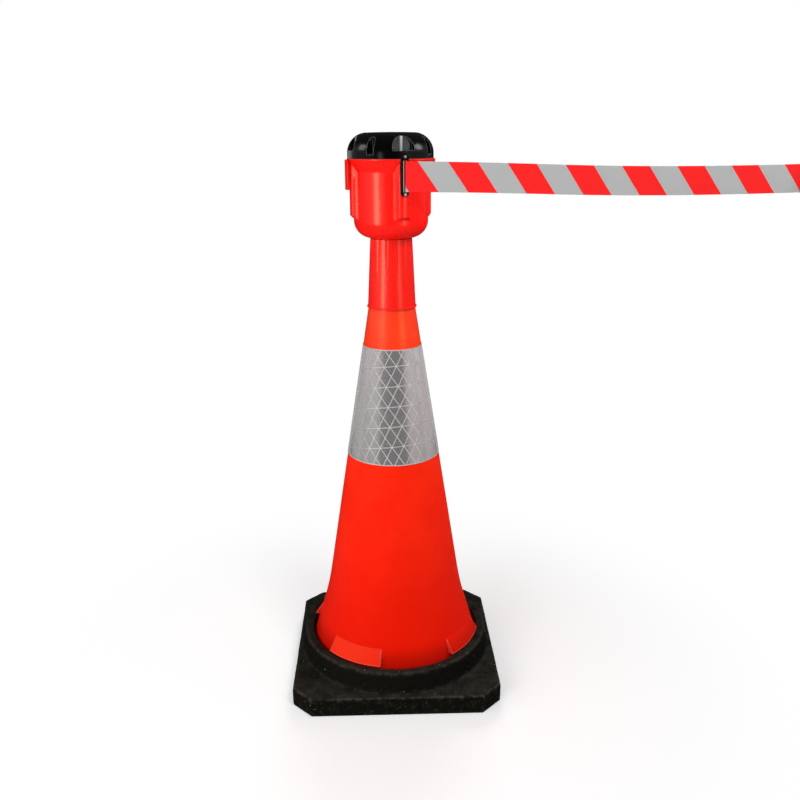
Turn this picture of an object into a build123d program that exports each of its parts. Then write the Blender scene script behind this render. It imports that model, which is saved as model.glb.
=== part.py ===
from build123d import *
import os
from math import acos, atan2, cos, degrees, hypot, pi, radians, sin, sqrt, tan

os.makedirs("parts", exist_ok=True)

# A retractable barrier belt in a head that sits on a traffic cone with a rubber base.
# Sizes are in millimetres and angles in degrees. The origin is on the floor under the middle of
# the base, X runs along its front edge, -Y is the front and +Z is up.

# Rubber base
base_side = 380.0
base_corner_cut = 35.5
plate_height = 36.0
plate_edge_round = 3.0
ring_height = 40.0
ring_foot_radius = 180.0
ring_top_radius = 176.0
ring_bore_radius = 158.0
ring_edge_round = 4.0

# Cone
cone_height = 750.0
cone_wall = 3.0
cone_top_radius = 34.3
cone_taper = 0.1576
flare_taper = 0.30
flare_height = 163.0
flare_blend = 500.0
foot_bore_gap = 1.8
foot_flange_width = 13.5
foot_flange_thickness = 6.0
foot_lift = 1.0
foot_recess_gap = 1.0
foot_edge_round = 7.2
lug_count = 4
lug_turn = -30.4
lug_arc = 39.2
lug_height = 26.0
lug_reach = 3.0
lug_play = 3.0
lug_root = 1.5

# Reflective collar
collar_drop = 110.3
collar_height = 202.2
collar_thickness = 0.6
collar_gap = 0.2

# Sleeve between cone and head
sleeve_height = 118.7
sleeve_overlap = 43.0
sleeve_wall = 2.2
sleeve_top_radius = 36.3
sleeve_top_thickness = 4.0
sleeve_gap = 0.3
sleeve_seat_length = 14.0
sleeve_lip_height = 2.0
sleeve_lip_slope = 1.5
sleeve_rib_count = 8
sleeve_rib_start = 4.0
sleeve_rib_height = 24.0
sleeve_rib_width = 2.0
sleeve_flute_count = 14
sleeve_flute_length = 82.0
sleeve_flute_depth = 1.0
sleeve_flute_width = 7.0
sleeve_hole_radius = 1.6
sleeve_hole_height = 17.5
sleeve_hole_azimuth = -92.0

# Swivel between sleeve and head
thrust_washer_thickness = 1.3
thrust_washer_radius = 30.0
bolt_shoulder_radius = 5.0
bolt_thread_radius = 4.0
bolt_thread_length = 16.0
bolt_head_radius = 9.0
bolt_head_height = 6.5
bolt_head_chamfer = 1.0
bolt_running_gap = 0.08
bolt_socket_radius = 4.0
bolt_socket_depth = 4.0
steel_washer_radius = 14.0
steel_washer_thickness = 2.0

# Head housing
head_turn = 17.0
pot_radius = 63.5
pot_height = 131.0
pot_wall = 3.0
pot_floor = 4.0
pot_underside = 1.6
bowl_radius = 29.0
bowl_flat_cut = 1.2
rim_radius = 73.5
rim_thickness = 2.0
soffit_height = 19.0
boss_count = 4
boss_bottom = 34.0
boss_face_radius = 70.5
boss_face_width = 14.5
boss_foot_width = 30.0
boss_edge_round = 2.5
boss_end_chamfer = 5.0
spindle_post_radius = 13.0

# Cap
cap_height = 42.0
cap_radius = 72.5
cap_wall = 3.0
cap_shoulder_radius = 33.0
cap_crown = 0.6
arch_width = 36.0
arch_height = 22.4
arch_ledge = 13.0
arch_back_radius = 57.5
arch_rib_radius = 2.75
pocket_radius = 6.0
pocket_floor = 7.0
pocket_centre_radius = 65.5
cap_post_radius = 10.0
cap_post_clear = 1.8

# Small screws
cap_screw_radius = 1.75
cap_screw_length = 17.0
cap_screw_head_radius = 4.0
cap_screw_head_height = 2.8
trim_screw_radius = 1.4
trim_screw_length = 9.5
trim_screw_head_radius = 2.3
trim_screw_head_height = 1.3
receiver_screw_radius = 1.5
receiver_screw_bite = 3.5
receiver_screw_head_radius = 3.0
receiver_screw_head_height = 1.8
cover_screw_radius = 1.4
cover_screw_length = 9.0
cover_screw_head_radius = 2.8
cover_screw_head_height = 1.6
cover_screw_count = 3
screw_gap = 0.05
screw_end_gap = 0.3
screw_head_round_share = 0.45
cross_recess_width = 1.0
cross_recess_depth = 0.8

# Belt
belt_width = 48.0
belt_thickness = 0.7
belt_wound_length = 7200.0
belt_outward = 9.0
belt_top_gap = 3.0
belt_gap = 0.3

# Route of the free belt, from the slot to its end in the clip: distance from the slot, height
belt_route = [(0.0, 0.0), (119.0, -2.6), (357.0, -12.6), (594.0, -14.2), (713.0, -12.3)]
route_round_share = 0.45

# Belt slot and its trim
slot_width = 3.4
slot_margin = 1.0
slot_mouth_width = 12.0
slot_mouth_depth = 5.5
slot_bend_radius = 4.0
slot_bend_depth = 3.5
trim_width = 13.0
trim_below = 31.6
trim_above = 37.1
trim_face_radius = 77.0
trim_slot_width = 3.0
trim_lip_round = 2.0
trim_edge_round = 1.0
trim_cap_gap = 0.2
trim_screw_below = 28.2
trim_screw_above = 31.0

# Receiver rails for the end clips of other belts
receiver_height = 48.6
receiver_top_gap = 1.2
receiver_stem_width = 5.0
receiver_face_width = 14.0
receiver_face_thickness = 2.2
receiver_face_round = 0.88
receiver_opening = 5.3
receiver_screw_inset = 13.0
receiver_rim_gap = 0.1

# Spindle and spool
spindle_radius = 6.0
spindle_seat = 12.0
spindle_gap = 0.05
spindle_head_room = 16.0
spindle_end_chamfer = 0.8
hub_radius = 22.0
hub_wall = 10.0
flange_radius = 57.0
flange_thickness = 2.0
flange_spigot = 8.0
spool_side_gap = 1.0
barrel_radius = 50.0
barrel_wall = 3.0
barrel_height = 36.0
cover_thickness = 5.0
bush_wall = 3.0
bush_flange_radius = 12.0
bush_flange_thickness = 2.0
bush_gap = 0.05
thrust_gap = 0.2
anchor_pin_radius = 1.5
top_washer_radius = 11.0
top_washer_thickness = 1.5
clip_ring_radius = 9.5
clip_ring_thickness = 1.2
clip_ring_groove = 0.8
clip_ring_mouth = 6.0
flange_screw_count = 3
flange_screw_length = 9.0

# Mainspring
spring_turns = 9
spring_strip = 0.8
spring_height = 31.0
spring_end_gap = 0.3

# End clip of the belt
clip_height = 50.0
clip_tongue_length = 20.0
clip_tongue_thickness = 4.0
clip_wall = 6.0
clip_width = 25.0
clip_lip = 4.5
clip_top_wall = 4.0
clip_rail_gap = 0.4
clip_edge_round = 1.2
clamp_length = 17.0
clamp_inset = 1.5
clamp_thickness = 3.0
clamp_edge_chamfer = 0.9
clamp_gap = 0.05
belt_in_clip = 16.0
rivet_radius = 2.0
rivet_head_radius = 3.6
rivet_head_height = 1.2
rivet_head_round = 0.7
rivet_spread = 28.0
rivet_inset = 10.0

# How far a cutter reaches past the faces that it cuts
over = 1.0

# Levels and places that follow from the sizes above
ring_top = plate_height + ring_height
foot_radius = ring_bore_radius - foot_bore_gap
foot_top = foot_lift + foot_flange_thickness
collar_top = cone_height - collar_drop
collar_bottom = collar_top - collar_height
sleeve_bottom = cone_height - sleeve_overlap
sleeve_top = sleeve_bottom + sleeve_height
head_level = sleeve_top + thrust_washer_thickness
belt_mid = pot_height - belt_top_gap - belt_width / 2
belt_bottom = belt_mid - belt_width / 2
belt_top = belt_mid + belt_width / 2
lower_flange_top = belt_bottom - spool_side_gap
lower_flange_bottom = lower_flange_top - flange_thickness
upper_flange_bottom = belt_top + spool_side_gap
upper_flange_top = upper_flange_bottom + flange_thickness
barrel_bottom = lower_flange_bottom - barrel_height
cover_bottom = barrel_bottom - cover_thickness
post_top = cover_bottom - bush_flange_thickness - thrust_gap
top_washer_level = upper_flange_top + bush_flange_thickness + thrust_gap
clip_ring_level = top_washer_level + top_washer_thickness + thrust_gap
cap_post_bottom = clip_ring_level + clip_ring_thickness + cap_post_clear
spindle_top = cap_post_bottom + spindle_head_room
roll_radius = sqrt(hub_radius**2 + belt_wound_length * belt_thickness / pi)
receiver_top = pot_height - receiver_top_gap
receiver_bottom = receiver_top - receiver_height
receiver_face_radius = boss_face_radius + receiver_opening + receiver_face_thickness
receiver_azimuths = {"left": -90.0, "right": 90.0, "back": 180.0}
between_bosses = 180.0 / boss_count
belt_free_length = belt_route[-1][0] - belt_in_clip
bush_bore = spindle_radius + spindle_gap
bush_radius = bush_bore + bush_wall


def ring(outer, inner, bottom, top):
    """A plain round washer or tube between two heights."""
    height = top - bottom
    body = Cylinder(outer, height, align=(Align.CENTER, Align.CENTER, Align.MIN))
    hole = Cylinder(inner, height, align=(Align.CENTER, Align.CENTER, Align.MIN))
    return Pos(0, 0, bottom) * (body - hole)


def disc(radius, bottom, top):
    """A round bar between two heights."""
    return Pos(0, 0, bottom) * Cylinder(radius, top - bottom, align=(Align.CENTER, Align.CENTER, Align.MIN))


def turned(points):
    """A solid turned about Z from a closed outline of (radius, height) points."""
    outline = Polyline(*[(r, z) for r, z in points], close=True)
    return revolve(Plane.XZ * make_face(outline), Axis.Z)


def around(count, start=0.0):
    """Equally spaced azimuths about Z."""
    return [start + 360.0 * i / count for i in range(count)]


def facing(azimuth):
    """Turns something built towards -Y to face an azimuth measured from -Y towards +X."""
    return Rot(0, 0, azimuth)


def at_head(shape):
    """Moves a piece from the head's own frame, slot towards -Y, to its place on the sleeve."""
    return Pos(0, 0, head_level) * Rot(0, 0, head_turn) * shape


def pan_screw(radius, length, head_radius, head_height):
    """A screw along Z with its head's underside at z = 0 and a cross recess in the head."""
    shank = disc(radius, -length, 0)
    head = disc(head_radius, 0, head_height)
    head = fillet(head.faces().sort_by(Axis.Z)[-1].edges(), head_height * screw_head_round_share)
    bar = Box(head_radius * 1.2, cross_recess_width, 2 * cross_recess_depth)
    recess = Pos(0, 0, head_height) * (bar + Rot(0, 0, 90) * bar)
    return shank + head - recess


def upright_slab(width, near, far, bottom, top):
    """A block in front of the axis: its width along X and its depth from near to far along -Y."""
    block = Box(width, far - near, top - bottom)
    return Pos(0, -(near + far) / 2, (bottom + top) / 2) * block


# Cone and base


def cone_radius(z):
    """Outside radius of the cone's straight part at a height."""
    return cone_top_radius + cone_taper * (cone_height - z)


def foot_side_radius(z):
    """Outside radius of the flared foot at a height, up to the upright wall in the base's bore."""
    return min(foot_radius, cone_radius(flare_height) + flare_taper * (flare_height - z))


flare_end = flare_height - (foot_radius - cone_radius(flare_height)) / flare_taper


def cone_outline(inset):
    """The cone's side from the foot to the top as a chain of lines and one large arc."""
    return FilletPolyline(
        (foot_radius - inset, 0),
        (foot_radius - inset, flare_end),
        (cone_radius(flare_height) - inset, flare_height),
        (cone_top_radius - inset, cone_height),
        radius=[foot_edge_round, flare_blend],
    )


def cone_body(inset):
    """The full round cone inside its outline, from the floor level to the top."""
    side = cone_outline(inset)
    ends = Polyline(side @ 1, (0, cone_height), (0, 0), side @ 0)
    return revolve(Plane.XZ * make_face([*side.edges(), *ends.edges()]), Axis.Z)


def cone_shell():
    lug_bottom = ring_top + lug_play
    lug_top = lug_bottom + lug_height
    flange = ring(foot_radius + foot_flange_width, foot_radius - cone_wall, foot_lift, foot_top)
    below = disc(foot_radius * 2, -over, foot_lift)
    shell = cone_body(0) + flange - cone_body(cone_wall) - below
    lug_outline = Polyline(
        (foot_side_radius(lug_top) - lug_root, lug_top),
        (foot_side_radius(lug_top), lug_top),
        (ring_bore_radius + lug_reach, lug_bottom),
        (foot_side_radius(lug_bottom) - lug_root, lug_bottom),
        close=True,
    )
    lug = revolve(Plane.XZ * make_face(lug_outline), Axis.Z, lug_arc)
    for azimuth in around(lug_count, lug_turn):
        shell += Rot(0, 0, azimuth - 90 - lug_arc / 2) * lug
    return shell


def rubber_base():
    half = base_side / 2
    corner = half - base_corner_cut
    outline = Polyline(
        (corner, -half), (half, -corner), (half, corner), (corner, half),
        (-corner, half), (-half, corner), (-half, -corner), (-corner, -half), close=True,
    )
    plate = extrude(make_face(outline), plate_height)
    plate = fillet(plate.faces().sort_by(Axis.Z)[-1].edges(), plate_edge_round)
    collar = turned(
        [
            (0, 0),
            (ring_foot_radius, 0),
            (ring_foot_radius, plate_height),
            (ring_top_radius, ring_top),
            (0, ring_top),
        ]
    )
    bore = disc(ring_bore_radius, -over, ring_top + over)
    recess = disc(foot_radius + foot_flange_width + foot_recess_gap, -over, foot_top)
    base = plate + collar - bore
    rims = base.edges().filter_by(GeomType.CIRCLE).group_by(Axis.Z)[-1]
    return fillet(rims, ring_edge_round) - recess


def reflective_collar():
    inner = collar_gap
    outer = collar_gap + collar_thickness
    return turned(
        [
            (cone_radius(collar_bottom) + inner, collar_bottom),
            (cone_radius(collar_bottom) + outer, collar_bottom),
            (cone_radius(collar_top) + outer, collar_top),
            (cone_radius(collar_top) + inner, collar_top),
        ]
    )


# Sleeve and swivel


def cone_sleeve():
    seat_top = sleeve_bottom + sleeve_seat_length
    under_top = sleeve_top - sleeve_top_thickness
    mouth = cone_radius(sleeve_bottom) + sleeve_gap
    neck = cone_radius(seat_top) + sleeve_gap
    lip_top = sleeve_bottom + sleeve_lip_height
    slope = (neck + sleeve_wall - sleeve_top_radius) / (sleeve_top - seat_top)
    slope_end = lip_top + sleeve_lip_slope
    shell = turned(
        [
            (mouth, sleeve_bottom),
            (mouth + sleeve_wall, sleeve_bottom),
            (mouth + sleeve_wall, lip_top),
            (neck + sleeve_wall + slope * (seat_top - slope_end), slope_end),
            (sleeve_top_radius, sleeve_top),
            (0, sleeve_top),
            (0, under_top),
            (sleeve_top_radius - sleeve_wall, under_top),
            (neck, seat_top),
        ]
    )
    rib_bottom = seat_top + sleeve_rib_start
    rib_top = rib_bottom + sleeve_rib_height
    rib_root = neck + sleeve_wall / 2
    rib_outline = Polyline(
        (cone_radius(rib_bottom) + sleeve_gap, rib_bottom),
        (rib_root - slope * (rib_bottom - seat_top), rib_bottom),
        (rib_root - slope * (rib_top - seat_top), rib_top),
        (cone_radius(rib_top) + sleeve_gap, rib_top),
        close=True,
    )
    rib = extrude(Plane.XZ * make_face(rib_outline), sleeve_rib_width / 2, both=True)
    for azimuth in around(sleeve_rib_count, 180.0 / sleeve_rib_count):
        shell += Rot(0, 0, azimuth) * rib
    flute_section = Polyline(
        (-sleeve_flute_width, -sleeve_flute_depth),
        (sleeve_flute_width, -sleeve_flute_depth),
        (0, sleeve_flute_depth),
        close=True,
    )
    flute = extrude(make_face(flute_section), sleeve_flute_length + sleeve_wall)
    lean = degrees(atan2(sleeve_flute_depth, sleeve_flute_length) + atan2(slope, 1.0))
    flute_foot = sleeve_top - sleeve_flute_length
    foot_at = sleeve_top_radius + slope * sleeve_flute_length + sleeve_flute_depth
    for azimuth in around(sleeve_flute_count, 360.0 / sleeve_flute_count / 2):
        shell -= facing(azimuth) * Pos(0, -foot_at, flute_foot) * Rot(-lean, 0, 0) * flute
    hole = Rot(0, 0, sleeve_hole_azimuth) * Pos(0, -mouth, sleeve_bottom + sleeve_hole_height)
    shell -= hole * Rot(90, 0, 0) * Cylinder(sleeve_hole_radius, 4 * sleeve_wall)
    return shell - disc(bolt_shoulder_radius + bolt_running_gap, under_top - over, sleeve_top + over)


def thrust_washer():
    return ring(thrust_washer_radius, bolt_shoulder_radius + bolt_running_gap, sleeve_top, head_level)


def swivel_bolt():
    plate_under = sleeve_top - sleeve_top_thickness
    head_top = plate_under - steel_washer_thickness
    head = disc(bolt_head_radius, head_top - bolt_head_height, head_top)
    head = chamfer(head.faces().sort_by(Axis.Z)[0].edges(), bolt_head_chamfer)
    socket = RegularPolygon(bolt_socket_radius, 6)
    socket = Pos(0, 0, head_top - bolt_head_height) * extrude(socket, bolt_socket_depth)
    shoulder_top = head_level + spindle_seat
    shoulder = disc(bolt_shoulder_radius, head_top, shoulder_top)
    thread = disc(bolt_thread_radius, shoulder_top, shoulder_top + bolt_thread_length)
    return Rot(0, 0, head_turn) * (head + shoulder + thread - socket)


def swivel_washer():
    top = sleeve_top - sleeve_top_thickness
    hole = bolt_shoulder_radius + bolt_running_gap
    return ring(steel_washer_radius, hole, top - steel_washer_thickness, top)


# Head housing, built with its slot towards -Y and its underside at z = 0


def pot_outline(inset, floor):
    """Half outline of the pot from its floor to the rim level, at an inset from the outside."""
    centre_r = pot_radius - bowl_radius
    centre_z = pot_underside + bowl_radius - bowl_flat_cut
    radius = bowl_radius - inset
    flat = centre_r + sqrt(radius**2 - (centre_z - floor) ** 2)
    middle = radians(-45)
    bowl = ThreePointArc(
        (flat, floor),
        (centre_r + radius * cos(middle), centre_z + radius * sin(middle)),
        (pot_radius - inset, centre_z),
    )
    rest = Polyline(bowl @ 1, (pot_radius - inset, pot_height), (0, pot_height), (0, floor), bowl @ 0)
    return make_face([*bowl.edges(), *rest.edges()])


def boss_section():
    """Plan of the pot with its four bosses, with the corners rounded."""
    inside = pot_radius - pot_wall
    foot = boss_foot_width / 2
    foot_depth = sqrt(pot_radius**2 - foot**2)
    outline = Polyline(
        (-foot, -inside / 2),
        (-foot, -foot_depth),
        (-boss_face_width / 2, -boss_face_radius),
        (boss_face_width / 2, -boss_face_radius),
        (foot, -foot_depth),
        (foot, -inside / 2),
        close=True,
    )
    plan = Circle(pot_radius)
    for azimuth in around(boss_count):
        plan += Rot(0, 0, azimuth) * make_face(outline)
    return fillet(plan.vertices(), boss_edge_round)


def boss_bottom_cut():
    """A cone-shaped cutter that bevels the lower ends of the bosses."""
    low = boss_bottom
    return turned(
        [
            (boss_face_radius - boss_end_chamfer, low - over),
            (rim_radius + boss_end_chamfer, low - over),
            (rim_radius + boss_end_chamfer, low + boss_end_chamfer),
            (boss_face_radius, low + boss_end_chamfer),
            (boss_face_radius - boss_end_chamfer, low),
        ]
    )


def soffit_rim(gap):
    """The rim and the sloped soffit that carries it, as a full round body grown by a gap."""
    rim_bottom = pot_height - rim_thickness
    return turned(
        [
            (0, rim_bottom - soffit_height),
            (pot_radius + gap, rim_bottom - soffit_height),
            (rim_radius + gap, rim_bottom),
            (rim_radius + gap, pot_height),
            (0, pot_height),
        ]
    )


def slot_cutter(width, near, far):
    bottom = belt_bottom - slot_margin
    top = belt_top + slot_margin
    return upright_slab(width, near, far, bottom, top)


def slot_mouth():
    """The widening of the slot towards the spool."""
    inside = pot_radius - pot_wall
    mouth = Polyline(
        (-slot_mouth_width / 2, -inside + over),
        (-slot_mouth_width / 2, -inside),
        (-slot_width / 2, -inside - slot_mouth_depth),
        (slot_width / 2, -inside - slot_mouth_depth),
        (slot_mouth_width / 2, -inside),
        (slot_mouth_width / 2, -inside + over),
        close=True,
    )
    bottom = belt_bottom - slot_margin
    return Pos(0, 0, bottom) * extrude(make_face(mouth), belt_width + 2 * slot_margin)


def cap_screw_places():
    """The four places of the cap screws, half way between the bosses."""
    place = Pos(0, -pocket_centre_radius, 0)
    return [facing(azimuth) * place for azimuth in around(boss_count, between_bosses)]


def receiver_screw_levels():
    return [receiver_bottom + receiver_screw_inset, receiver_top - receiver_screw_inset]


def head_housing():
    inside = pot_radius - pot_wall
    body = revolve(Plane.XZ * pot_outline(0, pot_underside), Axis.Z)
    bosses = Pos(0, 0, boss_bottom) * extrude(boss_section(), pot_height - boss_bottom)
    body += bosses - boss_bottom_cut()
    body += soffit_rim(0)
    body -= revolve(Plane.XZ * pot_outline(pot_wall, pot_floor), Axis.Z)
    body += disc(thrust_washer_radius, 0, pot_floor)
    body += disc(spindle_post_radius, 0, post_top)
    body -= disc(spindle_radius + spindle_gap, spindle_seat, post_top + over)
    body -= disc(bolt_shoulder_radius + screw_gap, -over, spindle_seat)
    body -= slot_cutter(slot_width, inside - over, rim_radius)
    body -= slot_mouth()
    tap_depth = cap_screw_length - pocket_floor + over
    tap = disc(cap_screw_radius + screw_gap, pot_height - tap_depth, pot_height + over)
    for place in cap_screw_places():
        body -= place * tap
    drill = Rot(90, 0, 0) * Cylinder(receiver_screw_radius + screw_gap, 2 * (boss_face_radius - inside))
    for azimuth in receiver_azimuths.values():
        for level in receiver_screw_levels():
            body -= facing(azimuth) * Pos(0, -(boss_face_radius + inside) / 2, level) * drill
    trim_drill = Rot(90, 0, 0) * Cylinder(trim_screw_radius + screw_gap, 2 * trim_screw_length)
    body -= Pos(0, -trim_face_radius, belt_mid - trim_screw_below) * trim_drill
    return body


def belt_receiver():
    """A T-shaped rail on the -Y side, its stem on the boss face and its face plate standing clear."""
    stem_far = boss_face_radius + receiver_opening
    stem = upright_slab(receiver_stem_width, boss_face_radius, stem_far, receiver_bottom, receiver_top)
    face = upright_slab(receiver_face_width, stem_far, receiver_face_radius, receiver_bottom, receiver_top)
    upright = face.edges().filter_by(Axis.Z)
    face = fillet(upright, receiver_face_round)
    bite = Rot(90, 0, 0) * Cylinder(receiver_screw_radius + screw_gap, 2 * receiver_screw_bite)
    rail = stem + face - soffit_rim(receiver_rim_gap)
    for level in receiver_screw_levels():
        rail -= Pos(0, -boss_face_radius, level) * bite
    return rail


def receiver_screws():
    inside = pot_radius - pot_wall
    seat = sqrt(inside**2 - receiver_screw_head_radius**2)
    length = boss_face_radius - seat + receiver_screw_bite - screw_end_gap
    screw = pan_screw(receiver_screw_radius, length, receiver_screw_head_radius, receiver_screw_head_height)
    pieces = []
    for azimuth in receiver_azimuths.values():
        for level in receiver_screw_levels():
            pieces.append(facing(azimuth) * Pos(0, -seat, level) * Rot(-90, 0, 0) * screw)
    return pieces


# Cap, in the head's frame


def dome(inset):
    """The cap's round body, or its hollow when inset by the wall."""
    top = pot_height + cap_height - inset
    shoulder = cap_shoulder_radius - inset
    centre_r = cap_radius - cap_shoulder_radius
    centre_z = pot_height + cap_height - cap_crown - cap_shoulder_radius
    middle = radians(45)
    arc = ThreePointArc(
        (cap_radius - inset, centre_z),
        (centre_r + shoulder * cos(middle), centre_z + shoulder * sin(middle)),
        (centre_r, centre_z + shoulder),
    )
    ball = (centre_r**2 + cap_crown**2) / (2 * cap_crown)
    crown = ThreePointArc(arc @ 1, (centre_r / 2, top - ball + sqrt(ball**2 - centre_r**2 / 4)), (0, top))
    sides = Polyline(crown @ 1, (0, pot_height), (cap_radius - inset, pot_height), arc @ 0)
    return revolve(Plane.XZ * make_face([*arc.edges(), *crown.edges(), *sides.edges()]), Axis.Z)


def arch_cutter(grow):
    """The arched pocket above a boss, or the block that leaves its wall when grown."""
    ledge = pot_height + arch_ledge - grow
    half = arch_width / 2 + grow
    crest = pot_height + arch_ledge + arch_height + grow
    arch = ThreePointArc((-half, ledge), (0, crest), (half, ledge))
    sill = Line(arch @ 1, arch @ 0)
    near = arch_back_radius - grow
    face = Plane.XZ * make_face([*arch.edges(), *sill.edges()])
    return Pos(0, -near, 0) * extrude(face, cap_radius)


def pocket_cutter(grow):
    """The upright pocket over a cap screw, open to the outside."""
    radius = pocket_radius + grow
    bottom = pot_height + pocket_floor
    top = pot_height + cap_height + over
    if grow:
        bottom = pot_height - over
    column = Pos(0, -pocket_centre_radius, 0) * disc(radius, bottom, top)
    return column + upright_slab(2 * radius, pocket_centre_radius, 2 * cap_radius, bottom, top)


def top_cap():
    hollow = dome(cap_wall)
    for azimuth in around(boss_count):
        hollow -= facing(azimuth) * arch_cutter(cap_wall)
    for azimuth in around(boss_count, between_bosses):
        hollow -= facing(azimuth) * pocket_cutter(cap_wall)
    cap = dome(0) - hollow
    cap += disc(cap_post_radius, cap_post_bottom, pot_height + cap_height - cap_wall / 2)
    cap -= disc(spindle_radius + spindle_gap, cap_post_bottom - over, spindle_top + over)
    rib = Pos(0, -arch_back_radius, 0) * disc(arch_rib_radius, pot_height, pot_height + cap_height)
    arch = arch_cutter(0) - rib
    for azimuth in around(boss_count):
        cap -= facing(azimuth) * arch
    hole = disc(cap_screw_radius + screw_gap, pot_height - over, pot_height + pocket_floor + over)
    for azimuth in around(boss_count, between_bosses):
        cap -= facing(azimuth) * pocket_cutter(0)
    for place in cap_screw_places():
        cap -= place * hole
    drill = Rot(90, 0, 0) * Cylinder(trim_screw_radius + screw_gap, 2 * trim_screw_length)
    return cap - Pos(0, -trim_face_radius, belt_mid + trim_screw_above) * drill


def cap_screws():
    screw = pan_screw(cap_screw_radius, cap_screw_length, cap_screw_head_radius, cap_screw_head_height)
    return [place * Pos(0, 0, pot_height + pocket_floor) * screw for place in cap_screw_places()]


# Slot trim


def slot_trim():
    height = trim_below + trim_above
    middle = belt_mid + (trim_above - trim_below) / 2
    outline = Rot(0, 0, 90) * SlotOverall(height, trim_width)
    thickness = trim_face_radius - boss_face_radius
    bar = Pos(0, -boss_face_radius, middle) * extrude(Plane.XZ * outline, thickness)
    bar = fillet(bar.faces().sort_by(Axis.Y)[0].edges(), trim_edge_round)
    bar -= slot_cutter(trim_slot_width, boss_face_radius - over, trim_face_radius + over)
    right_side = bar.edges().filter_by(Axis.Z).filter_by_position(Axis.X, 0, trim_slot_width)
    bar = fillet(right_side.group_by(Axis.Y)[0], trim_lip_round)
    bar -= disc(cap_radius + trim_cap_gap, pot_height, pot_height + cap_height)
    bar -= soffit_rim(trim_cap_gap)
    drill = Rot(90, 0, 0) * Cylinder(trim_screw_radius + screw_gap, 4 * trim_screw_length)
    for level in (belt_mid - trim_screw_below, belt_mid + trim_screw_above):
        bar -= Pos(0, -trim_face_radius, level) * drill
    return bar


def trim_screws():
    screw = pan_screw(trim_screw_radius, trim_screw_length, trim_screw_head_radius, trim_screw_head_height)
    seated = Pos(0, -trim_face_radius, 0) * Rot(90, 0, 0) * screw
    levels = (belt_mid - trim_screw_below, belt_mid + trim_screw_above)
    return [Pos(0, 0, level) * seated for level in levels]


# Spindle, spool and mainspring


def spindle():
    shaft = disc(spindle_radius, spindle_seat, spindle_top)
    shaft = chamfer(shaft.faces().sort_by(Axis.Z)[-1].edges(), spindle_end_chamfer)
    groove_wall = spindle_radius - clip_ring_groove
    groove_top = clip_ring_level + clip_ring_thickness
    groove = ring(spindle_radius + over, groove_wall, clip_ring_level, groove_top)
    thread_end = spindle_seat + bolt_thread_length + over
    tapped = disc(bolt_thread_radius + screw_gap, spindle_seat - over, thread_end)
    return shaft - groove - tapped


def spool():
    hub = ring(hub_radius, hub_radius - hub_wall, lower_flange_bottom, upper_flange_bottom)
    flange = ring(flange_radius, hub_radius - hub_wall, lower_flange_bottom, lower_flange_top)
    barrel = ring(barrel_radius, barrel_radius - barrel_wall, barrel_bottom, lower_flange_bottom)
    pin_place = Pos(0, hub_radius - 2 * anchor_pin_radius, 0)
    pin_hole = disc(anchor_pin_radius + screw_gap, belt_bottom, upper_flange_bottom + over)
    body = hub + flange + barrel - pin_place * pin_hole
    blind = disc(cover_screw_radius + screw_gap, barrel_bottom - over, barrel_bottom + cover_screw_length)
    for place in cover_screw_places():
        body -= place * blind
    tap_bottom = upper_flange_top - flange_screw_length - over
    tapped = disc(cover_screw_radius + screw_gap, tap_bottom, upper_flange_top)
    for place in flange_screw_places():
        body -= place * tapped
    return body


def cover_screw_places():
    radius = barrel_radius - barrel_wall / 2
    return [Rot(0, 0, azimuth) * Pos(radius, 0, 0) for azimuth in around(cover_screw_count)]


def flange_screw_places():
    radius = hub_radius - hub_wall / 2
    return [Rot(0, 0, azimuth) * Pos(radius, 0, 0) for azimuth in around(flange_screw_count, 30.0)]


def spool_top_flange():
    bore = bush_radius + bush_gap
    plate = ring(flange_radius, bore, upper_flange_bottom, upper_flange_top)
    spigot_radius = hub_radius - hub_wall - bush_gap
    spigot = ring(spigot_radius, bore, upper_flange_bottom - flange_spigot, upper_flange_bottom)
    body = plate + spigot
    hole = disc(cover_screw_radius + screw_gap, upper_flange_bottom - over, upper_flange_top + over)
    for place in flange_screw_places():
        body -= place * hole
    return body


def flange_screws():
    head = (cover_screw_head_radius, cover_screw_head_height)
    screw = pan_screw(cover_screw_radius, flange_screw_length, *head)
    return [place * Pos(0, 0, upper_flange_top) * screw for place in flange_screw_places()]


def upper_bush():
    tube = ring(bush_radius, bush_bore, upper_flange_bottom - flange_spigot, upper_flange_top)
    head = ring(bush_flange_radius, bush_bore, upper_flange_top, upper_flange_top + bush_flange_thickness)
    return tube + head


def lower_bush():
    tube = ring(bush_radius, bush_bore, cover_bottom, barrel_bottom)
    head = ring(bush_flange_radius, bush_bore, cover_bottom - bush_flange_thickness, cover_bottom)
    return tube + head


def barrel_cover():
    edge = barrel_radius + cover_screw_head_radius / 2
    body = ring(edge, bush_radius + bush_gap, cover_bottom, barrel_bottom)
    hole = disc(cover_screw_radius + screw_gap, cover_bottom - over, barrel_bottom + over)
    for place in cover_screw_places():
        body -= place * hole
    return body


def cover_screws():
    length = cover_screw_length + cover_thickness - screw_end_gap
    screw = pan_screw(cover_screw_radius, length, cover_screw_head_radius, cover_screw_head_height)
    return [place * Pos(0, 0, cover_bottom) * Rot(180, 0, 0) * screw for place in cover_screw_places()]


def spindle_top_washer():
    return ring(top_washer_radius, bush_bore, top_washer_level, top_washer_level + top_washer_thickness)


def spindle_clip():
    """An open ring in the spindle's groove."""
    inner = spindle_radius - clip_ring_groove + screw_gap
    body = ring(clip_ring_radius, inner, clip_ring_level, clip_ring_level + clip_ring_thickness)
    mouth = Box(clip_ring_mouth, 2 * clip_ring_radius, 4 * clip_ring_thickness)
    return body - Pos(0, -clip_ring_radius, clip_ring_level) * mouth


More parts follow.
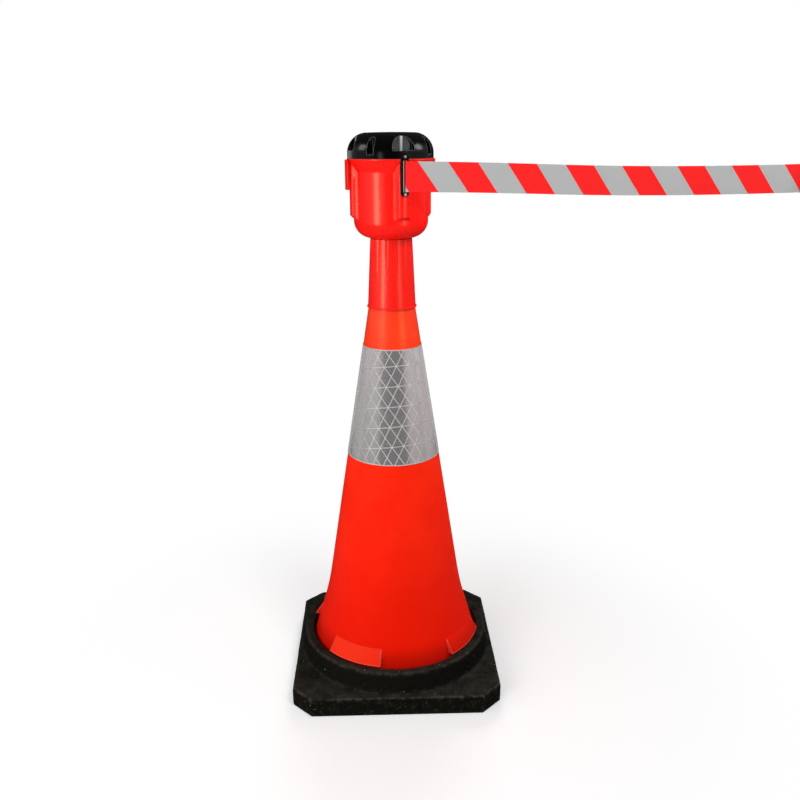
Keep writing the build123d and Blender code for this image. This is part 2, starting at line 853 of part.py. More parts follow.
def spiral_strip(inner, outer, turns, strip):
    """Plan of a flat spiral strip made of half circles about two centres."""
    halves = 2 * turns
    step = (outer - inner - strip) / halves
    first = inner + strip / 2
    side_in = []
    side_out = []
    end = None
    for i in range(halves):
        radius = first + step * (i + 0.5)
        shift = -step / 2 if i % 2 == 0 else step / 2
        turn = 0.0 if i % 2 == 0 else 180.0
        side_in.append(CenterArc((shift, 0), radius - strip / 2, turn, 180))
        side_out.append(CenterArc((shift, 0), radius + strip / 2, turn, 180))
        end = (side_in[-1] @ 1, side_out[-1] @ 1)
    closing = [Line(side_in[0] @ 0, side_out[0] @ 0), Line(*end)]
    chain = side_in + side_out + closing
    return make_face([edge for line in chain for edge in line.edges()])


def mainspring():
    inner = spindle_radius + spring_end_gap
    outer = barrel_radius - barrel_wall - spring_end_gap
    middle = (barrel_bottom + lower_flange_bottom) / 2
    plan = spiral_strip(inner, outer, spring_turns, spring_strip)
    return Pos(0, 0, middle - spring_height / 2) * extrude(plan, spring_height)


def belt_roll():
    return ring(roll_radius, hub_radius + belt_gap, belt_bottom, belt_top)


def belt_anchor_pin():
    pin = disc(anchor_pin_radius, belt_bottom, upper_flange_bottom)
    return Pos(0, hub_radius - 2 * anchor_pin_radius, 0) * pin


# Belt from the roll through the slot, in the head's frame

bend_x = trim_slot_width / 2 - belt_gap - belt_thickness / 2
lip_radius = trim_lip_round + belt_gap + belt_thickness / 2
lip_centre = (bend_x + lip_radius, -(trim_face_radius - trim_lip_round))
bend_centre = (bend_x + slot_bend_radius, -(pot_radius - pot_wall + slot_bend_depth))
exit_turn = 90.0 - belt_outward


def along(start, angle, distance):
    return (start[0] + distance * cos(radians(angle)), start[1] + distance * sin(radians(angle)))


belt_start = along(lip_centre, 180.0 + exit_turn, lip_radius)


def belt_lead():
    """The belt between the roll and the outside of the slot, wrapped round the slot's right edge."""
    winding = roll_radius + belt_gap + belt_thickness / 2
    span = hypot(*bend_centre)
    tilt = degrees(acos((winding + slot_bend_radius) / span))
    square = degrees(atan2(bend_centre[1], bend_centre[0])) + tilt
    leave = along((0, 0), square, winding)
    arrive = along(bend_centre, square + 180.0, slot_bend_radius)
    inner_turn = 180.0 - (square + 180.0)
    inner_bend = CenterArc(bend_centre, slot_bend_radius, square + 180.0, inner_turn)
    straight = Line(inner_bend @ 1, (bend_x, lip_centre[1]))
    lip_bend = CenterArc(lip_centre, lip_radius, 180.0, exit_turn)
    path = Wire([*Line(leave, arrive).edges(), *inner_bend.edges(), *straight.edges(), *lip_bend.edges()])
    start = Plane(origin=(*leave, 0), x_dir=(0, 0, 1), z_dir=path % 0)
    section = start * Rectangle(belt_width, belt_thickness)
    return Pos(0, 0, belt_mid) * sweep(section, path)


# Free belt: an upright sheet that follows the route, with arcs as large as its runs allow

belt_plane = Plane(
    origin=(belt_start[0], belt_start[1], belt_mid),
    x_dir=(cos(radians(-belt_outward)), sin(radians(-belt_outward)), 0),
    z_dir=(-sin(radians(belt_outward)), -cos(radians(belt_outward)), 0),
)


def route_radii():
    """The arc radius at each inner point of the route."""
    radii = []
    for before, point, after in zip(belt_route, belt_route[1:], belt_route[2:]):
        run_in = Vector(*point) - Vector(*before)
        run_out = Vector(*after) - Vector(*point)
        half_turn = radians(run_in.get_angle(run_out)) / 2
        radii.append(route_round_share * min(run_in.length, run_out.length) / tan(half_turn))
    return radii


def belt_edge(shift):
    """The route moved up or down to one edge of the belt."""
    return FilletPolyline(*[(s, height + shift) for s, height in belt_route], radius=route_radii())


def rivet_places():
    """The two rivets through the belt's end, at the clip's level."""
    reach = belt_free_length + rivet_inset
    level = belt_route[-1][1]
    return [(reach, level + side * rivet_spread / 2) for side in (-1, 1)]


def belt_free():
    upper = belt_edge(belt_width / 2)
    lower = belt_edge(-belt_width / 2)
    near = Line(upper @ 0, lower @ 0)
    far = Line(upper @ 1, lower @ 1)
    sheet = make_face([*upper.edges(), *far.edges(), *lower.edges(), *near.edges()])
    for place in rivet_places():
        sheet -= Pos(*place) * Circle(rivet_radius + screw_gap)
    return extrude(belt_plane * sheet, belt_thickness / 2, both=True)


# End clip: X runs along the belt from the clip's near edge, Y across it, Z up

clip_reach = clip_tongue_length + clip_wall
rail_slot = receiver_face_thickness + 2 * clip_rail_gap
clip_end = clip_reach + rail_slot + clip_lip
tongue_near = belt_thickness / 2 + clamp_gap


def block(x0, x1, y0, y1, z0, z1):
    return Pos((x0 + x1) / 2, (y0 + y1) / 2, (z0 + z1) / 2) * Box(x1 - x0, y1 - y0, z1 - z0)


def at_clip(shape):
    """Moves a piece from the clip's own frame to the belt's end."""
    away = along(belt_start, -belt_outward, belt_free_length)
    level = belt_mid + belt_route[-1][1]
    return Pos(away[0], away[1], level) * Rot(0, 0, -belt_outward) * shape


def rivet_holes():
    hole = Rot(90, 0, 0) * Cylinder(rivet_radius + screw_gap, 4 * clip_tongue_thickness)
    return [Pos(rivet_inset, 0, side * rivet_spread / 2) * hole for side in (-1, 1)]


def end_clip_body():
    half = clip_height / 2
    tongue_far = tongue_near + clip_tongue_thickness
    tongue = block(0, clip_tongue_length + over, tongue_near, tongue_far, -half, half)
    grip = block(clip_tongue_length, clip_end, -clip_width / 2, clip_width / 2, -half, half)
    grip = fillet(grip.edges().filter_by(Axis.Z), clip_edge_round)
    face_room = receiver_face_width / 2 + clip_rail_gap
    stem_room = receiver_stem_width / 2 + clip_rail_gap
    rail_top = half - clip_top_wall
    grip -= block(clip_reach, clip_reach + rail_slot, -face_room, face_room, -half - over, rail_top)
    grip -= block(clip_reach, clip_end + over, -stem_room, stem_room, -half - over, rail_top)
    body = tongue + grip
    for hole in rivet_holes():
        body -= hole
    return body


def end_clip_clamp():
    half = clip_height / 2
    near = -tongue_near
    plate = block(clamp_inset, clamp_inset + clamp_length, near - clamp_thickness, near, -half, half)
    front = plate.faces().sort_by(Axis.Y)[0]
    plate = chamfer(front.edges(), clamp_edge_chamfer)
    for hole in rivet_holes():
        plate -= hole
    return plate


def end_clip_rivets():
    back = tongue_near + clip_tongue_thickness
    front = tongue_near + clamp_thickness
    shank = disc(rivet_radius, -back, front)
    far_head = disc(rivet_head_radius, front, front + rivet_head_height)
    far_head = fillet(far_head.faces().sort_by(Axis.Z)[-1].edges(), rivet_head_round)
    near_head = disc(rivet_head_radius, -back - rivet_head_height, -back)
    near_head = fillet(near_head.faces().sort_by(Axis.Z)[0].edges(), rivet_head_round)
    rivet = Rot(90, 0, 0) * (shank + far_head + near_head)
    return [Pos(rivet_inset, 0, side * rivet_spread / 2) * rivet for side in (-1, 1)]


# Every piece at its place

pieces = {
    "rubber_base": rubber_base(),
    "cone_shell": cone_shell(),
    "reflective_collar": reflective_collar(),
    "cone_sleeve": cone_sleeve(),
    "thrust_washer": thrust_washer(),
    "swivel_bolt": swivel_bolt(),
    "swivel_washer": swivel_washer(),
    "belt_anchor_pin": at_head(belt_anchor_pin()),
}

for name, shape in {
    "head_housing": head_housing(),
    "top_cap": top_cap(),
    "cap_screws": cap_screws(),
    "slot_trim": slot_trim(),
    "trim_screws": trim_screws(),
    "receiver_screws": receiver_screws(),
    "spindle": spindle(),
    "spindle_top_washer": spindle_top_washer(),
    "spindle_clip": spindle_clip(),
    "spool": spool(),
    "spool_top_flange": spool_top_flange(),
    "flange_screws": flange_screws(),
    "upper_bush": upper_bush(),
    "lower_bush": lower_bush(),
    "barrel_cover": barrel_cover(),
    "cover_screws": cover_screws(),
    "mainspring": mainspring(),
    "belt_roll": belt_roll(),
    "belt_lead": belt_lead(),
    "belt_free": belt_free(),
}.items():
    group = shape if isinstance(shape, list) else [shape]
    pieces[name] = Compound([at_head(solid) for solid in group]) if len(group) > 1 else at_head(group[0])

rail = belt_receiver()
for side, azimuth in receiver_azimuths.items():
    pieces["belt_receiver_" + side] = at_head(facing(azimuth) * rail)

pieces["end_clip_body"] = at_head(at_clip(end_clip_body()))
pieces["end_clip_clamp"] = at_head(at_clip(end_clip_clamp()))
pieces["end_clip_rivets"] = Compound([at_head(at_clip(rivet)) for rivet in end_clip_rivets()])

for name, shape in pieces.items():
    export_step(shape, "parts/" + name + ".step")

print("roll radius", round(roll_radius, 2), "clip travel", round(belt_free_length, 1))
print("route radii", [round(radius) for radius in route_radii()])
sheet_volume = belt_width * belt_thickness * belt_edge(0).length
print("free belt volume", round(pieces["belt_free"].volume), "section times length", round(sheet_volume))
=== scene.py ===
from math import cos, pi, radians, sin, sqrt

import bmesh
import bpy
from mathutils import Matrix, Vector, noise


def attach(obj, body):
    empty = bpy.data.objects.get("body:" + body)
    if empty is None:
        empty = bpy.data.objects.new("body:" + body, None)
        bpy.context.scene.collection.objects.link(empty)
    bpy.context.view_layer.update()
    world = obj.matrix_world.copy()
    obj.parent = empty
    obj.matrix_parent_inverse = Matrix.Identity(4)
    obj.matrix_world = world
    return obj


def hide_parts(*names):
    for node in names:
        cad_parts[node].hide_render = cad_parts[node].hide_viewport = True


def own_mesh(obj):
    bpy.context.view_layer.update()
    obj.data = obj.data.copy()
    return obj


# A retractable barrier belt in a head on a traffic cone: finishes, belt and rubber base around
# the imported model. Lengths are in metres and angles in degrees, in the part's own frame. A pair
# such as cone_foot is a span: an effect is absent at its first value and full at its second.

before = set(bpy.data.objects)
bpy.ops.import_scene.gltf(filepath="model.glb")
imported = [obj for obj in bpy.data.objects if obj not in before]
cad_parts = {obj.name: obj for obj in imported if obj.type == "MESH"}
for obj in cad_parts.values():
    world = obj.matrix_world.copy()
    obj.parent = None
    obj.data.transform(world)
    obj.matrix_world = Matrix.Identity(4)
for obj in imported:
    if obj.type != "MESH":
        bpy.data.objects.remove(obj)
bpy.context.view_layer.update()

# Camera
camera_place = (-0.0235, -1.4956, 0.996)
camera_pitch = 17.186
camera_yaw = -1.401
camera_roll = -0.425
camera_sensor = 36.0
camera_lens = 38.65

# Floor and room
floor_half = 8.0
floor_drop = 0.0003
floor_grey = 0.86
floor_lift = 0.33
floor_fade = (0.30, 0.8)
room_light = 0.2
room_sides = 0.22
room_dark = 0.03
wall_sideways = (0.62, 0.80)
wall_upright = (0.55, 0.25)

# Lamps
lamp_aim = (0.0, 0.0, 0.6)
white_light = (1.0, 1.0, 1.0)
warm_light = (1.0, 0.84, 0.50)
orange_light = (1.0, 0.80, 0.28)
left_blush = (1.0, 0.96, 0.97)
right_blush = (1.0, 0.89, 0.90)

# Lamps that only show in gloss: azimuth, distance, height, width, tallness, watts and tint
gloss_lamps = {
    "left_key": (-44.0, 2.4, 0.56, 0.5, 0.72, 13.0, warm_light),
    "right_fill": (40.0, 2.4, 0.56, 0.35, 0.72, 4.0, warm_light),
    "left_side": (-86.0, 2.0, 1.9, 0.8, 0.8, 5.5, white_light),
    "right_side": (84.0, 2.0, 1.9, 0.8, 0.8, 8.5, white_light),
    "cone_left": (-44.0, 2.4, 0.56, 0.5, 0.72, 7.5, orange_light),
    "cone_right": (43.0, 2.4, 0.56, 0.6, 0.72, 9.8, orange_light),
    "cap_fill": (40.0, 2.4, 0.56, 0.35, 0.72, 4.5, white_light),
    "cap_front": (35.0, 2.4, 0.97, 0.5, 0.4, 0.6, white_light),
    "cap_key": (-27.0, 2.4, 0.99, 0.35, 0.5, 0.8, white_light),
    "cap_left": (-140.0, 2.4, 0.97, 1.4, 1.0, 3.0, white_light),
    "left_panel": (-64.0, 2.0, 0.46, 2.1, 0.9, 1.19, left_blush),
    "far_left_panel": (-118.0, 2.0, 0.34, 2.1, 1.2, 2.2, left_blush),
    "back_left_panel": (-166.0, 1.2, 0.3, 1.2, 0.6, 0.8, white_light),
    "right_panel": (64.0, 2.0, 0.42, 2.1, 0.9, 1.6, right_blush),
    "far_right_panel": (118.0, 2.0, 0.32, 2.1, 1.2, 3.1, right_blush),
    "back_right_panel": (166.0, 1.2, 0.3, 1.2, 0.6, 0.8, white_light),
}

# Lamps that don't show in gloss, with their values in the same order
wash_lamps = {
    "left_wash": (-36.0, 2.6, 1.2, 1.6, 1.6, 38.0, white_light),
    "far_left_wash": (-70.0, 2.6, 1.0, 1.6, 1.6, 14.0, white_light),
    "right_wash": (94.3, 1.2, 1.5, 0.5, 0.5, 15.0, white_light),
    "front_wash": (30.0, 1.3, 2.2, 0.6, 0.6, 13.5, white_light),
    "back_wash": (172.0, 1.6, 1.3, 0.8, 0.8, 12.0, white_light),
    "head_low": (36.0, 1.6, 0.35, 0.8, 0.6, 4.0, white_light),
}

# Lamps that light one node alone
own_lamps = {
    "cone_shell": ["cone_left", "cone_right"],
    "top_cap": ["cap_fill", "cap_front", "cap_key", "cap_left"],
    "reflective_collar": ["left_panel", "far_left_panel", "back_left_panel",
                          "right_panel", "far_right_panel", "back_right_panel"],
    "head_housing": ["head_low"],
}

# Nodes that the key and fill lamps leave out
unkeyed_nodes = ["cone_shell", "top_cap", "reflective_collar"]

# Surface effects
grain_span = (0.3, 0.7)
tone_span = (0.35, 0.65)
tone_scale = 14.0
dust_span = (0.25, 0.7)
dust_slope = (0.35, 0.95)
scuff_span = (0.62, 0.78)
scuff_stretch = (1.0, 1.0, 0.12)
edge_span = (0.995, 0.86)

# Head
head_level = 0.8270
head_turn = 17.0
boss_inner = 0.0666
boss_outer = 0.0713
boss_top = head_level + 0.108
boss_fade = 0.012
boss_crown = 2.6
# Place of the painted highlight on the cap's ribs
rib_inner = 0.0577
rib_outer = 0.06065
rib_radius = 0.00275
# Place of the painted highlight along the belt slot's lip
lip_middle = -0.0028
lip_edge = (0.0007, 0.000467)
lip_end = (0.025, 0.024)

# Belt
belt_width = 0.048
belt_thickness = 0.0007
belt_mid = head_level + 0.104
belt_edge_round = 0.0002
belt_heading = 8.0
belt_start = Vector((0.025644, -0.073324, belt_mid))
belt_overlap = 0.0008
belt_crease = 35.0
stripe_pitch = 0.099
stripe_slant = 0.036
stripe_first = 0.084
warp_pitch = 0.0011
weft_pitch = 0.0014

# Route of the free belt: distance from the slot and height above the belt's level there
belt_route = [(0.0, 0.0), (0.119, -0.0026), (0.357, -0.0126), (0.594, -0.0142), (0.713, -0.0123)]

# Route of the belt from the roll to the slot and round its right edge, in the head's own plan
lead_route = [
    (0.03141, -0.03409), (0.0226, -0.0422), (0.0103, -0.0535), (0.0034, -0.0599), (0.00085, -0.06225),
    (0.00085, -0.0660), (0.00085, -0.0715), (0.00085, -0.0752), (0.00085, -0.07726),
    (0.003085, -0.077617),
]

# Wound belt
roll_inner = 0.0223
roll_outer = 0.0456
roll_margin = 0.65 * belt_thickness
roll_steps = 72

# Cone: place of its lugs and of the painted light on them, and the heights at which its finish and its
# painted shade change
lug_turn = -30.4
lug_arc = (19.8, 19.3)
lug_upper = (0.1056, 0.1044)
lug_lower = (0.077, 0.079)
lug_lit_side = (0.08, -0.02)
lug_tone = (0.3, 0.6)
cone_tone = (0.38, 0.62)
cone_paler = (0.36, 0.70)
cone_foot = (0.36, 0.06)
cone_contact_shade = (0.112, 0.080)
cone_sheen = (0.60, 0.68)
sleeve_foot = 0.707
sleeve_shade = (0.0022, 0.0008)

# Rubber base
base_underside = 0.002
base_merge = 0.00001
base_voxel = 0.0027
wave_scale = 22.0
wave_height = 0.0006
ripple_scale = 90.0
ripple_height = 0.00035
crumb_scale = 640.0
crumb_level = (0.050, 0.038)
crumb_chance = (0.70, 0.98)
crumb_patches = (0.45, 0.62)
rubber_edges = (0.505, 0.56)
grit_density = 260.0
grit_smallest = 0.0003
grit_largest = 0.0009
grit_inside = 0.162
grit_seed = 7

# Reflective film on the cone
cone_apex = 0.9676
cone_taper = 0.1576
film_middle = 0.5386
film_border = (0.0993, 0.1001)
film_row = 0.0355
film_pitch = 0.0208
film_seam = (0.000812, 0.000532)
film_tilt = -4.7
film_across = -0.0030
film_down = 0.0042
film_facet = 0.02
# Angles from the front between which the seams' painted shade sets in
seam_shade_turn = (46.0, 28.0)
prism_scale = 900.0
prism_span = (0.2, 0.9)


# Node helpers


def put(tree, kind, inputs=None, **options):
    """Adds a node, sets its options and feeds its inputs with values or with other sockets."""
    made = tree.nodes.new(kind)
    for name, value in options.items():
        setattr(made, name, value)
    for key, value in (inputs or {}).items():
        if isinstance(value, bpy.types.NodeSocket):
            tree.links.new(value, made.inputs[key])
        else:
            made.inputs[key].default_value = value
    return made


def calc(tree, operation, *values):
    """One step of arithmetic on numbers or sockets."""
    return put(tree, "ShaderNodeMath", dict(enumerate(values)), operation=operation).outputs[0]


def vector_calc(tree, operation, *values, **named):
    """One step of vector arithmetic. A length or a dot product comes as a number."""
    inputs = {**dict(enumerate(values)), **named}
    made = put(tree, "ShaderNodeVectorMath", inputs, operation=operation)
    return made.outputs["Value" if operation in ("LENGTH", "DOT_PRODUCT") else "Vector"]


def axes(tree, vector):
    """A vector's X, Y and Z."""
    return put(tree, "ShaderNodeSeparateXYZ", {0: vector}).outputs


def overlap(tree, *masks):
    """Where all of the masks hold."""
    shared = masks[0]
    for mask in masks[1:]:
        shared = calc(tree, "MULTIPLY", shared, mask)
    return shared


def blend_colours(tree, share, first, second):
    """Mixes two colours by a share from 0 to 1."""
    made = put(tree, "ShaderNodeMix", data_type="RGBA")
    for index, value in ((0, share), (6, first), (7, second)):
        if isinstance(value, bpy.types.NodeSocket):
            tree.links.new(value, made.inputs[index])
        else:
            made.inputs[index].default_value = value
    return made.outputs[2]


def ramp(tree, value, low, high, start=0.0, end=1.0):
    """Maps a value smoothly from low..high to start..end."""
    inputs = {"Value": value, "From Min": low, "From Max": high, "To Min": start, "To Max": end}
    made = put(tree, "ShaderNodeMapRange", inputs, interpolation_type="SMOOTHSTEP")
    return made.outputs["Result"]


def clouds(tree, coords, scale, detail, roughness=0.5):
    """Cloudy noise."""
    inputs = {"Vector": coords, "Scale": scale, "Detail": detail, "Roughness": roughness}
    return put(tree, "ShaderNodeTexNoise", inputs).outputs["Fac"]


def shade(red, green, blue):
    """A colour given as 0 to 255 on screen, as the linear value that a shader takes."""
    def linear(value):
        value /= 255.0
        return value / 12.92 if value <= 0.04045 else ((value + 0.055) / 1.055) ** 2.4
    return (linear(red), linear(green), linear(blue), 1.0)


def object_coords(tree):
    return put(tree, "ShaderNodeTexCoord").outputs["Object"]


def surface_normal(tree):
    return put(tree, "ShaderNodeNewGeometry").outputs["Normal"]


# Shared surface effects


def effect(name, inputs, outputs):
    """An empty shader group with named number inputs and outputs."""
    tree = bpy.data.node_groups.new(name, "ShaderNodeTree")
    for socket in inputs:
        tree.interface.new_socket(socket, in_out="INPUT", socket_type="NodeSocketFloat")
    for socket in outputs:
        tree.interface.new_socket(socket, in_out="OUTPUT", socket_type="NodeSocketFloat")
    return tree, put(tree, "NodeGroupInput").outputs, put(tree, "NodeGroupOutput").inputs


def make_grain():
    """Fine moulding grain and the slow tone changes of a large plastic or rubber surface."""
    tree, given, result = effect("surface_grain", ["Scale"], ["Grain", "Tone"])
    coords = object_coords(tree)
    tree.links.new(clouds(tree, coords, given["Scale"], detail=4.0), result["Grain"])
    tree.links.new(clouds(tree, coords, tone_scale, detail=3.0, roughness=0.6), result["Tone"])
    return tree


def make_dust():
    """Dust that settles in patches on faces that look up."""
    tree, given, result = effect("settled_dust", ["Scale", "Amount"], ["Mask"])
    upward = ramp(tree, axes(tree, surface_normal(tree))["Z"], *dust_slope)
    patches = clouds(tree, object_coords(tree), given["Scale"], detail=8.0, roughness=0.65)
    patches = ramp(tree, patches, *dust_span)
    tree.links.new(overlap(tree, upward, patches, given["Amount"]), result["Mask"])
    return tree


def make_scuffs():
    """Thin upright rub marks and scratches."""
    tree, given, result = effect("scuff_marks", ["Scale", "Amount"], ["Mask"])
    inputs = {"Vector": object_coords(tree), "Scale": scuff_stretch}
    stretched = put(tree, "ShaderNodeMapping", inputs).outputs[0]
    streaks = clouds(tree, stretched, given["Scale"], detail=7.0, roughness=0.7)
    streaks = ramp(tree, streaks, *scuff_span)
    tree.links.new(overlap(tree, streaks, given["Amount"]), result["Mask"])
    return tree


def make_edges():
    """Sharp outer and inner edges, where finishes lay a paler colour, part wear and part painted
    highlight.
    """
    tree, given, result = effect("pale_edges", ["Radius", "Amount"], ["Mask"])
    eased = put(tree, "ShaderNodeBevel", {"Radius": given["Radius"]}, samples=6).outputs["Normal"]
    agree = vector_calc(tree, "DOT_PRODUCT", eased, surface_normal(tree))
    tree.links.new(overlap(tree, ramp(tree, agree, *edge_span), given["Amount"]), result["Mask"])
    return tree


grain_effect = make_grain()
dust_effect = make_dust()
scuff_effect = make_scuffs()
edge_effect = make_edges()


def use(tree, group, **inputs):
    """Places a surface effect in a material with its own values."""
    return put(tree, "ShaderNodeGroup", inputs, node_tree=group).outputs


# Finishes


def new_finish(name):
    """A material with an empty Principled shader, ready to be fed."""
    material = bpy.data.materials.new("finish_" + name)
    material.use_nodes = True
    tree = material.node_tree
    return material, tree, tree.nodes["Principled BSDF"].inputs


def raise_grain(tree, shader, height, depth, strength, edge_round):
    """Bump on a normal whose sharp edges are eased."""
    eased = put(tree, "ShaderNodeBevel", {"Radius": edge_round}, samples=4).outputs["Normal"]
    inputs = {"Strength": strength, "Distance": depth, "Height": height, "Normal": eased}
    tree.links.new(put(tree, "ShaderNodeBump", inputs).outputs["Normal"], shader["Normal"])


def moulded(name, light, dark, marked, roughness, dust=0.1, scuffs=0.1, edges=0.2, specular=0.5,
            rounding=0.0006, edge_width=0.0009):
    """Moulded plastic: two close tones, fine grain, scuffs, a little dust, edges paled by wear and
    painted highlight.
    """
    material, tree, shader = new_finish(name)
    grain = use(tree, grain_effect, Scale=900.0)
    colour = blend_colours(tree, ramp(tree, grain["Tone"], *tone_span), dark, light)
    marks = use(tree, scuff_effect, Scale=70.0, Amount=scuffs)["Mask"]
    # Paler edges: wear, and on the housing and the black gloss and satin also a painted highlight
    worn = use(tree, edge_effect, Radius=edge_width, Amount=edges)["Mask"]
    colour = blend_colours(tree, calc(tree, "MAXIMUM", marks, worn), colour, marked)
    settled = use(tree, dust_effect, Scale=55.0, Amount=dust)["Mask"]
    colour = blend_colours(tree, settled, colour, shade(120, 114, 106))
    tree.links.new(colour, shader["Base Color"])
    dulled = ramp(tree, grain["Grain"], *grain_span, roughness - 0.05, roughness + 0.06)
    dulled = calc(tree, "MULTIPLY_ADD", settled, 0.3, dulled)
    tree.links.new(dulled, shader["Roughness"])
    shader["Specular IOR Level"].default_value = specular
    raise_grain(tree, shader, grain["Grain"], depth=0.00012, strength=0.3, edge_round=rounding)
    return material


def lug_painted_light(tree, place):
    """Where the holding lugs stand out at the cone's foot: a mask for painted light, strongest on the
    left.
    """
    front = calc(tree, "MULTIPLY", place["Y"], -1.0)
    around = calc(tree, "SUBTRACT", calc(tree, "ARCTAN2", place["X"], front), radians(lug_turn))
    from_lug = calc(tree, "PINGPONG", around, pi / 4)
    beside = ramp(tree, from_lug, radians(lug_arc[0]), radians(lug_arc[1]))
    below = ramp(tree, place["Z"], *lug_upper)
    above = ramp(tree, place["Z"], *lug_lower)
    side = ramp(tree, place["X"], *lug_lit_side, 0.05, 1.0)
    return overlap(tree, beside, below, above, side)


def cone_pvc():
    """Orange-red PVC, more orange and glossy on top, scuffed, painted shade at foot and sleeve, painted
    light on lugs.
    """
    material, tree, shader = new_finish("cone_pvc")
    place = axes(tree, object_coords(tree))
    height = place["Z"]
    grain = use(tree, grain_effect, Scale=620.0)
    upper = ramp(tree, height, *cone_paler)
    lighter = blend_colours(tree, upper, shade(255, 38, 13), shade(255, 63, 24))
    deeper = blend_colours(tree, upper, shade(250, 33, 9), shade(252, 57, 19))
    colour = blend_colours(tree, ramp(tree, grain["Tone"], *cone_tone), deeper, lighter)
    # Painted shade: the cone darkens towards its foot, where less light falls
    foot = ramp(tree, height, *cone_foot)
    colour = blend_colours(tree, foot, colour, shade(232, 22, 3))
    marked = use(tree, scuff_effect, Scale=48.0, Amount=0.2)["Mask"]
    marked = overlap(tree, marked, calc(tree, "MULTIPLY_ADD", foot, 0.8, 0.1))
    colour = blend_colours(tree, marked, colour, shade(190, 34, 16))
    # Painted shade where the cone meets the rubber ring
    contact_shade = ramp(tree, height, *cone_contact_shade, 0.0, 0.5)
    colour = blend_colours(tree, contact_shade, colour, shade(150, 12, 4))
    # Painted shadow in a narrow band round the cone at the sleeve's lower lip
    from_sleeve = calc(tree, "ABSOLUTE", calc(tree, "SUBTRACT", height, sleeve_foot))
    shaded = ramp(tree, from_sleeve, *sleeve_shade, 0.0, 0.6)
    colour = blend_colours(tree, shaded, colour, shade(150, 22, 12))
    # Painted light: the lugs are lighter, most on the left, where the light falls
    lugs = overlap(tree, lug_painted_light(tree, place), ramp(tree, grain["Tone"], *lug_tone, 0.65, 1.0))
    colour = blend_colours(tree, lugs, colour, shade(244, 48, 26))
    # Paler edges: part wear, part painted highlight along the cone's edges and its lugs
    worn = use(tree, edge_effect, Radius=0.0024, Amount=0.9)["Mask"]
    colour = blend_colours(tree, worn, colour, shade(255, 108, 86))
    settled = use(tree, dust_effect, Scale=60.0, Amount=0.1)["Mask"]
    colour = blend_colours(tree, settled, colour, shade(160, 90, 70))
    tree.links.new(colour, shader["Base Color"])
    tree.links.new(ramp(tree, grain["Grain"], *grain_span, 0.40, 0.50), shader["Roughness"])
    shader["Specular IOR Level"].default_value = 0.03
    tree.links.new(ramp(tree, height, *cone_sheen, 0.0, 0.8), shader["Coat Weight"])
    shader["Coat Roughness"].default_value = 0.34
    raise_grain(tree, shader, grain["Grain"], depth=0.0003, strength=0.3, edge_round=0.0012)
    return material


def black_rubber():
    """Recycled rubber: near black crumbs, some of them paler, dusty on top and pale at the edges."""
    material, tree, shader = new_finish("black_rubber")
    coords = object_coords(tree)
    grain = use(tree, grain_effect, Scale=430.0)
    colour = blend_colours(tree, grain["Grain"], shade(5, 5, 3), shade(17, 17, 14))
    settled = use(tree, dust_effect, Scale=38.0, Amount=0.9)["Mask"]
    colour = blend_colours(tree, settled, colour, shade(44, 43, 37))
    coarse = clouds(tree, coords, scale=120.0, detail=8.0)
    crumbs = put(tree, "ShaderNodeTexVoronoi", {"Vector": coords, "Scale": crumb_scale}).outputs
    chance = ramp(tree, axes(tree, crumbs["Color"])["X"], *crumb_chance)
    low = ramp(tree, axes(tree, coords)["Z"], *crumb_level, 0.12, 0.6)
    pale = overlap(tree, chance, ramp(tree, coarse, *crumb_patches), low)
    colour = blend_colours(tree, pale, colour, shade(70, 68, 60))
    pointed = put(tree, "ShaderNodeNewGeometry").outputs["Pointiness"]
    worn = overlap(tree, ramp(tree, pointed, *rubber_edges), ramp(tree, coarse, *tone_span))
    marks = use(tree, scuff_effect, Scale=60.0, Amount=0.2)["Mask"]
    colour = blend_colours(tree, calc(tree, "MAXIMUM", marks, worn), colour, shade(68, 66, 57))
    tree.links.new(colour, shader["Base Color"])
    tree.links.new(ramp(tree, grain["Grain"], *grain_span, 0.62, 0.86), shader["Roughness"])
    shader["Specular IOR Level"].default_value = 0.2
    rough = calc(tree, "MULTIPLY_ADD", crumbs["Distance"], 0.6, coarse)
    raise_grain(tree, shader, rough, depth=0.0014, strength=0.7, edge_round=0.0015)
    return material


def film_sheet(tree):
    """A point's angle round the film, and its place on the flat sheet that the film was cut from."""
    place = axes(tree, object_coords(tree))
    slope = sqrt(1.0 + cone_taper**2)
    front = calc(tree, "MULTIPLY", place["Y"], -1.0)
    around = calc(tree, "ARCTAN2", place["X"], front)
    turn = calc(tree, "MULTIPLY_ADD", around, cone_taper / slope, radians(film_tilt))
    reach = calc(tree, "MULTIPLY", calc(tree, "SUBTRACT", cone_apex, place["Z"]), slope)
    across = calc(tree, "MULTIPLY", reach, calc(tree, "SINE", turn))
    down = calc(tree, "MULTIPLY", reach, calc(tree, "COSINE", turn))
    return around, across, down


def film_cells(tree, across, down):
    """The film's pattern: distance from the nearest seam, and a vector that differs from cell to cell."""
    column = calc(tree, "MULTIPLY", calc(tree, "SUBTRACT", across, film_across), 1.0 / film_pitch)
    row = calc(tree, "MULTIPLY", calc(tree, "SUBTRACT", down, film_down), 1.0 / film_row)
    lean = 1.0 / sqrt(1.0 / film_pitch**2 + 1.0 / film_row**2)
    rising = calc(tree, "ADD", column, row)
    falling = calc(tree, "SUBTRACT", column, row)
    distances = []
    for stripes, spacing in ((row, film_row), (rising, lean), (falling, lean)):
        distances.append(calc(tree, "MULTIPLY", calc(tree, "PINGPONG", stripes, 0.5), spacing))
    nearest = calc(tree, "MINIMUM", distances[0], calc(tree, "MINIMUM", *distances[1:]))
    numbers = [calc(tree, "FLOOR", stripes) for stripes in (row, rising, falling)]
    cell = put(tree, "ShaderNodeCombineXYZ", dict(enumerate(numbers))).outputs[0]
    return nearest, put(tree, "ShaderNodeTexWhiteNoise", {"Vector": cell}).outputs["Color"]


